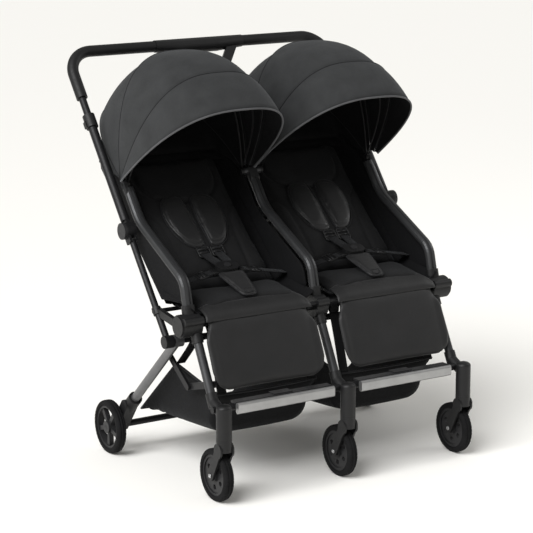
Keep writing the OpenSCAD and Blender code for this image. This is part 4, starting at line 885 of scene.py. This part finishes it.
def basket_binding(name, rows):
    """A folded tape round the basket's open edge."""
    left = [r[0] for r in rows]
    right = [r[-1] for r in rows]
    path = left + rows[-1][1:-1] + right[::-1] + rows[0][-2:0:-1]
    clean = []
    for q in path:
        if not clean or (q - clean[-1]).length > 2e-3:
            clean.append(q)
    tape = sweep(name, clean, Vector((0.1, 0.2, 1)), circle(2.6 * MM, 8), PIPING, closed=True)
    on_body(tape, "chassis")


def strap(name, points, up, body, steps=8):
    """Flat webbing through points in the row frame, in metres; with no body it is left unattached."""
    piece = sweep(name, smooth_path(points, steps), up, in_metres(flat_section(25, 1.8)), WEBBING)
    if body:
        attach(piece, body)
    return piece


def basket_hanger(name, x, low_at, tube, r):
    """Webbing from the basket's edge up and round a tube."""
    d = unit(tube - low_at)
    n = right_of(d)
    loop = [tube + (r + 1.2) * (math.cos(a) * n + math.sin(a) * d)
            for a in [math.radians(v) for v in (-30, 0, 40, 90, 140, 180, 210)]]
    line = [low_at - 4 * d, low_at + (tube - low_at) * 0.5, tube - (r + 12) * d + 2.5 * n] + loop \
        + [tube - (r + 13) * d - 1.5 * n]
    strap(name, [side_point(x, q) for q in line], Vector((0, n.x, n.y)), "chassis", steps=5)


for side, s in SIDES:
    rows = basket_rows(s * FOOT_X)
    seat_sheet("basket_" + side, rows, BASKET, 2, node="baskets")
    basket_binding("basket_binding_" + side, rows)
    for word, place in PLACES:
        x = s * FOOT_X + place * HANGER_X
        basket_hanger(f"basket_hanger_front_{side}_{word}", x, BASKET_LIP, HUB, 9)
        basket_hanger(f"basket_hanger_rear_{side}_{word}", x, BASKET_TOP, REAR_PIVOT, 8)


# Backrest shells, gussets, and the covers at the front and back of the seat

BACK_SHELL_LOW, BACK_SHELL_HIGH = 4, 432
GUSSET_OUTER, BACK_GUSSET_INNER, SEAT_GUSSET_INNER = 166, 124, 138
GUSSET_LOW, GUSSET_HIGH = 12, 448
FLAP_HIGH, FLAP_DEPTH = 446, 34
SLEEVE_X = 87
SLEEVE = [(-20, 5.1), (-20, 8.4), (-19.4, 9), (19.4, 9), (20, 8.4), (20, 5.1)]


def back_shell(name, x, body):
    outline = rounded_outline(SEAT_HALF, BACK_SHELL_LOW, BACK_SHELL_HIGH, 10, 24, draw=1)
    form = pad_mesh(name + "_form", outline, -2.2, 4.3, edge=0.5, rings=8, power=9)
    placed(name, form, back_frame(x), SIDE, body, level=0)
    bpy.data.objects.remove(form)


def lathe(name, matrix, profile, material, body, count=40):
    """A turned piece about a local x axis, from (along, radius) pairs in millimetres."""
    bm = bmesh.new()
    rings = []
    for along, radius in profile:
        rings.append([bm.verts.new(matrix @ Vector((along, a, b))) for a, b in circle(radius, count)])
    join_rings(bm, rings)
    bm.faces.new(rings[0])
    bm.faces.new(rings[-1])
    bmesh.ops.remove_doubles(bm, verts=bm.verts, dist=1e-6)
    on_body(finish_mesh(name, bm, material), body)


def curve_point(near, turn_at, far, t):
    """A point of the curve from near to far that bends towards turn_at."""
    return (1 - t) ** 2 * near + 2 * t * (1 - t) * turn_at + t * t * far


def back_gusset(side, word, place, back, body):
    def point(share, along):
        across = place * (GUSSET_OUTER + (BACK_GUSSET_INNER - GUSSET_OUTER) * share)
        return back @ Vector((across, GUSSET_LOW + (GUSSET_HIGH - GUSSET_LOW) * along,
                              9 - 7 * math.sin(math.pi * share)))

    seat_sheet(f"back_gusset_{side}_{word}", lattice(point, 8, 32), SIDE, 1.5,
               blend=("chassis", body, tuple(back @ Vector((place * 164, 180, 9))),
                      tuple(back @ Vector((place * 141, 180, 9)))))


def seat_gusset(side, word, place, seat):
    def point(share, along):
        across = place * (GUSSET_OUTER + (SEAT_GUSSET_INNER - GUSSET_OUTER) * share)
        return seat @ Vector((across, -4 + 140 * along, 24 + 17 * (1 - share) ** 2))

    seat_sheet(f"seat_gusset_{side}_{word}", lattice(point, 8, 16), SIDE, 1.5)


def back_flap(side, back, body):
    """Closes the slot between the backrest's top and the curtain."""
    def point(share, along):
        return back @ Vector((GUSSET_OUTER * (1 - 2 * along), FLAP_HIGH - FLAP_DEPTH * share,
                              9 + 5 * math.sin(math.pi * share)))

    seat_sheet("back_flap_" + side, lattice(point, 6, 28), SIDE, 1.5,
               blend=("chassis", body, tuple(back @ Vector((0, 441, 10))), tuple(back @ Vector((0, 424, 10)))))


def seat_front(side, x, seat):
    """The cover that turns down from the seat to the calf rest."""
    near, far = seat @ Vector((0, 14, 38.5)), calf_frame(x) @ Vector((0, 8, 9.5))
    turn_at = side_point(x, HUB + Vector((-33, 33)))

    def point(t, along):
        across = (137 + 6 * t) * (1 - 2 * along)
        drop = 9 * eased_share(abs(across), 116, 140) * (1 - t)
        return curve_point(near, turn_at, far, t) + Vector((across, drop * 0.4, -drop)) * MM

    seat_sheet("seat_front_" + side, lattice(point, 14, 40), CALF, 1.8,
               blend=("chassis", "calf_" + side, tuple(near), tuple(far)))


def seat_crease(side, back, seat, body):
    """The cloth in the corner between the seat and the backrest."""
    near, far = seat @ Vector((0, 112, 22)), back @ Vector((0, 66, 8))
    dip = seat @ Vector((0, 128, 20))

    def point(t, along):
        return curve_point(near, dip, far, t) + Vector((139 * (1 - 2 * along) * MM, 0, 0))

    seat_sheet("seat_crease_" + side, lattice(point, 12, 28), SEAT, 2,
               blend=("chassis", body, tuple(near), tuple(far)))


for side, s in SIDES:
    x = s * SEAT_X
    body = "backrest_" + side
    back, seat = back_frame(x), seat_frame(x)
    back_shell("back_shell_" + side, x, body)
    for word, place in PLACES:
        lathe(f"back_sleeve_{side}_{word}", frame_at(x + place * SLEEVE_X, BACK_PIVOT), SLEEVE, SIDE, body)
        back_gusset(side, word, place, back, body)
        seat_gusset(side, word, place, seat)
    back_flap(side, back, body)
    seat_front(side, x, seat)
    seat_crease(side, back, seat, body)


# Harness

def ladder_lock(name, matrix, body, wide=32, tall=30):
    """A strap slider: a rounded frame with two bars across."""
    outline = rounded_outline(wide / 2, -tall / 2, tall / 2, 5, 5, draw=0, steps=5)
    local_sweep(name, matrix, [(a, b, 0) for a, b in outline], flat_section(4.4, 5, 0.3), PLASTIC, body,
                closed=True)
    for k, y in enumerate((-tall * 0.1, tall * 0.22)):
        local_sweep(f"{name}_bar_{k}", matrix, [(-wide / 2, y, 0.4), (0, y, 0.9), (wide / 2, y, 0.4)],
                    flat_section(4, 4, 0.4), PLASTIC, body)


def buckle_tongue(name, matrix):
    """A moulded block with rounded edges, in a local frame."""
    bm = bmesh.new()
    bmesh.ops.create_cube(bm, size=1)
    bmesh.ops.scale(bm, vec=(14, 26, 9), verts=bm.verts)
    bmesh.ops.bevel(bm, geom=list(bm.edges), offset=2.0, segments=4, affect="EDGES", profile=0.5)
    bmesh.ops.transform(bm, matrix=matrix, verts=bm.verts)
    on_body(finish_mesh(name, bm, PLASTIC), "chassis")


def waist_side(end, seat, place):
    points = [(place * 30, 121, 74), (place * 58, 119, 70), (place * 90, 117, 64), (place * 128, 118, 56),
              (place * 160, 119, 50)]
    belt = strap("waist_strap_" + end, [seat @ Vector(q) for q in points],
                 (seat.to_3x3() @ Vector((0, 0, 1))).normalized(), "chassis")
    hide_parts("waist_straps")
    turn = seat @ Matrix.Translation((place * 72, 118, 68.5)) @ Matrix.Rotation(place * math.radians(12), 4, "Y") \
        @ Matrix.Rotation(math.radians(90), 4, "Z")
    ladder_lock("waist_slider_" + end, turn, "chassis", 34, 24)
    buckle_tongue("buckle_tongue_" + end, seat @ Matrix.Translation((place * 36, 121.5, 71)))


def shoulder_side(end, back, crotch, body, place):
    """The strap above a shoulder pad, its slot in the backrest, and the strap down to the buckle."""
    lean = (back.to_3x3() @ Vector((0, 0, 1))).normalized()
    ladder_lock("shoulder_lock_" + end, back @ Matrix.Translation((place * 19, 128, 27)), body)
    top = ((place * 39, 290, 26), (place * 41, 304, 26), (place * 42, 311, 22), (place * 42, 313, 12))
    strap("shoulder_strap_" + end, [back @ Vector(q) for q in top], lean, body)
    slot_line = [(a, b, 0) for a, b in rounded_outline(19, -5, 5, 4, 4, draw=0, steps=4)]
    local_sweep("shoulder_slot_" + end, back @ Matrix.Translation((place * 42, 313, 21.5)), slot_line,
                circle(1.8, 8), PLASTIC, body, closed=True)
    low = [back @ Vector((place * 20, 140, 27)), back @ Vector((place * 19, 120, 27.5)),
           crotch @ Vector((place * 14, 133, 9)), crotch @ Vector((place * 12, 124, 7))]
    low_strap = strap("buckle_strap_" + end, low, lean, None, steps=6)
    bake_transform(low_strap)


CROTCH_TAB = [(-11, 20, 10.4), (-10, 9, 9.6), (-5, 5, 8.6), (5, 5, 8.6), (10, 9, 9.6), (11, 20, 10.4)]
for side, s in SIDES:
    x = s * SEAT_X
    for word, place in PLACES:
        waist_side(f"{side}_{word}", seat_frame(x), place)
        shoulder_side(f"{side}_{word}", back_frame(x), crotch_frame(x), "backrest_" + side, place)
    local_sweep("crotch_tab_" + side, crotch_frame(x), CROTCH_TAB, circle(1.1, 8), PIPING, "chassis",
                closed=True)


# Rail inserts, canopy eyes, rivets, caps, screws and tyres

INSERT_X = RAIL_X - 2.5
INSERT_RISE = 9.6


def bent_path(points, radii, steps=10):
    """A flat path with rounded bends."""
    path = [points[0]]
    for i in range(1, len(points) - 1):
        d0, d1 = unit(points[i] - points[i - 1]), unit(points[i + 1] - points[i])
        turn = math.atan2(d0.x * d1.y - d0.y * d1.x, d0.dot(d1))
        cut = radii[i] * math.tan(abs(turn) / 2)
        sign = 1 if turn > 0 else -1
        start = points[i] - cut * d0
        centre = start + sign * radii[i] * Vector((-d0.y, d0.x))
        spoke = start - centre
        for k in range(steps + 1):
            a = turn * k / steps
            path.append(centre + Vector((spoke.x * math.cos(a) - spoke.y * math.sin(a),
                                         spoke.x * math.sin(a) + spoke.y * math.cos(a))))
    return path + [points[-1]]


RAIL_PATH = bent_path([HUB + 47 * KNEE_DIR, KNEE, SHOULDER, RAIL_END], [0, 46, 110, 0])
RAIL_LEANS = []
for i in range(len(RAIL_PATH)):
    d = unit(RAIL_PATH[min(i + 1, len(RAIL_PATH) - 1)] - RAIL_PATH[max(i - 1, 0)])
    RAIL_LEANS.append(Vector((0, -d.y, d.x)))
for word, x in (("left", -INSERT_X), ("mid", 0), ("right", INSERT_X)):
    line = [side_point(x, q) + lean * INSERT_RISE * MM for q, lean in zip(RAIL_PATH, RAIL_LEANS)]
    insert = sweep("rail_insert_" + word, line, RAIL_LEANS, in_metres(flat_section(4.4, 2.0, 0.5)), PIPING)
    on_body(insert, "chassis")

# Turned profiles, as (along, radius)
EYE = [(-1.7, 4.1), (-1.7, 8.6), (-1.3, 9), (1.3, 9), (1.7, 8.6), (1.7, 4.1)]
RIVET = [(0, 0.1), (0, 4.6), (0.7, 4.5), (1.5, 3.6), (1.9, 2.2), (2.0, 0.6), (2.0, 0.1)]
SCREW = [(0, 0.1), (0, 5.2), (1.1, 5.2), (1.7, 4.6), (2.0, 3.4), (2.0, 2.4), (0.9, 2.1), (0.9, 0.1)]
CAP = [(-1, 17.9), (0, 18), (2.4, 17.5), (5.2, 15.6), (7.6, 11.8), (9.2, 6.4), (9.8, 0.1)]
RIVET_X = 320.7
SCREW_X = 18.3

for side, s in SIDES:
    for bow_word, bow, body in (("middle", MID_BOW, "canopy_mid_"), ("front", FRONT_BOW, "canopy_front_")):
        for word, place in PLACES:
            lathe(f"canopy_{bow_word}_eye_{side}_{word}", frame_at(s * CANOPY_X + place * bow[1], CANOPY_PIVOT), EYE,
                  PLASTIC, body + side, 32)
for side, s in SIDES:
    lathe("brace_rivet_" + side, frame_at(s * RIVET_X, KNEE_PIN) @ Matrix.Diagonal((-s, 1, 1, 1)), RIVET, STEEL,
          "brace_front", 24)
for caster, x in CASTERS:
    upright = Matrix(((0, 1, 0, x), (0, 0, 1, CASTER_TOP.x), (1, 0, 0, CASTER_TOP.y), (0, 0, 0, 1 / MM))) * MM
    lathe("caster_cap_" + caster, upright, CAP, PLASTIC, "chassis")
    for word, place in PLACES:
        lathe(f"caster_screw_{caster}_{word}",
              frame_at(x + place * SCREW_X, FRONT_WHEEL) @ Matrix.Diagonal((place, 1, 1, 1)), SCREW, STEEL,
              "caster_" + caster, 24)

TYRE_HALF = 12
TREAD_COUNT = 240
TREAD_CUT = 0.9


def tyre(name, x, centre, body, node):
    """A tyre with two grooves round its tread and fine cuts across its shoulders; it stands on the floor."""
    radius = centre.y
    half_profile = [(2.6, radius), (3.0, radius - 1.6), (4.2, radius - 1.6), (4.6, radius),
                    (TYRE_HALF - 6.0, radius - 0.1), (TYRE_HALF - 3.6, radius - 0.8), (TYRE_HALF - 1.4, radius - 2.8),
                    (TYRE_HALF - 0.3, radius - 6), (TYRE_HALF, radius - 9), (TYRE_HALF, radius - 13)]
    profile = [(-along, r) for along, r in half_profile[::-1]] + half_profile
    matrix = frame_at(x, centre)
    bm = bmesh.new()
    rings = []
    for along, r in profile:
        ring = []
        for k in range(TREAD_COUNT):
            cut = TREAD_CUT if k % 6 == 0 and radius - 4 < r and abs(along) > 4.4 else 0
            a = 2 * math.pi * k / TREAD_COUNT
            ring.append(bm.verts.new(matrix @ Vector((along, (r - cut) * math.cos(a), (r - cut) * math.sin(a)))))
        rings.append(ring)
    join_rings(bm, rings, closed=True)
    piece = on_body(finish_mesh(name, bm, TYRE), body)
    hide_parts(node)


for side, s in SIDES:
    tyre("rear_tread_" + side, s * REAR_WHEEL_X, REAR_WHEEL, "rear_wheel_" + side, "rear_tyre_" + side)
for caster, x in CASTERS:
    tyre("front_tread_" + caster, x, FRONT_WHEEL, "front_wheel_" + caster, "front_tyre_" + caster)


# Camera and light

CAMERA_AZIMUTH, CAMERA_ELEVATION = math.radians(-32.261), math.radians(12.08)
CAMERA_TARGET = Vector((0, 0, 0.5235))
CAMERA_DISTANCE = 4.911
BACKDROP = (0.965, 0.955, 0.925, 1)
FLOOR_COLOUR = (0.975, 0.965, 0.935, 1)
WORLD_LIGHT = 0.42

scene = bpy.context.scene
scene.view_settings.view_transform = "Standard"
camera_data = set_all(bpy.data.cameras.new("camera"), sensor_width=36, lens=136.36, shift_x=-0.01753,
                      shift_y=-0.05427, clip_end=200)
camera = bpy.data.objects.new("camera", camera_data)
scene.collection.objects.link(camera)
away = Vector((math.sin(CAMERA_AZIMUTH) * math.cos(CAMERA_ELEVATION),
               -math.cos(CAMERA_AZIMUTH) * math.cos(CAMERA_ELEVATION), math.sin(CAMERA_ELEVATION)))
camera.location = CAMERA_TARGET + away * CAMERA_DISTANCE
camera.rotation_euler = (-away).to_track_quat("-Z", "Y").to_euler()
scene.camera = camera


def lamp(name, kind, place, target, energy, size):
    """A sun, with its size as an angle, or a round panel, with its size in metres."""
    data = set_all(bpy.data.lights.new(name, kind), energy=energy)
    if kind == "AREA":
        set_all(data, shape="DISK", size=size)
    else:
        data.angle = size
    light = bpy.data.objects.new(name, data)
    light.location = place
    light.rotation_euler = (Vector(target) - Vector(place)).to_track_quat("-Z", "Y").to_euler()
    scene.collection.objects.link(light)


lamp("key", "SUN", (-3.4, -1.4, 4.4), (0, 0, 0.4), 2.5, math.radians(40))
lamp("left_panel", "AREA", (-3.4, -0.4, 1.8), (0, 0, 0.6), 45, 1.6)
lamp("right_panel", "AREA", (3.0, -0.6, 2.2), (0, 0, 0.7), 18, 1.2)

# The camera sees the backdrop at full strength, and the object is lit by less of it
world = bpy.data.worlds.new("studio")
scene.world = world
world.use_nodes = True
world_tree = world.node_tree
background = set_inputs(world_tree.nodes["Background"], {"Color": BACKDROP, "Strength": WORLD_LIGHT})
seen = add_node(world_tree, "Background", {"Color": BACKDROP, "Strength": 1.0})
light_path = add_node(world_tree, "LightPath")
mix = add_node(world_tree, "MixShader", {
    "Fac": light_path.outputs["Is Camera Ray"], 1: background.outputs["Background"],
    2: seen.outputs["Background"]})
set_inputs(world_tree.nodes["World Output"], {"Surface": mix.outputs["Shader"]})

floor_bm = bmesh.new()
bmesh.ops.create_circle(floor_bm, cap_ends=True, radius=60, segments=96)
floor_material = bpy.data.materials.new("floor")
floor_material.use_nodes = True
set_inputs(floor_material.node_tree.nodes["Principled BSDF"], {"Base Color": FLOOR_COLOUR, "Roughness": 0.9})
floor = finish_mesh("floor", floor_bm, floor_material, smooth=False)
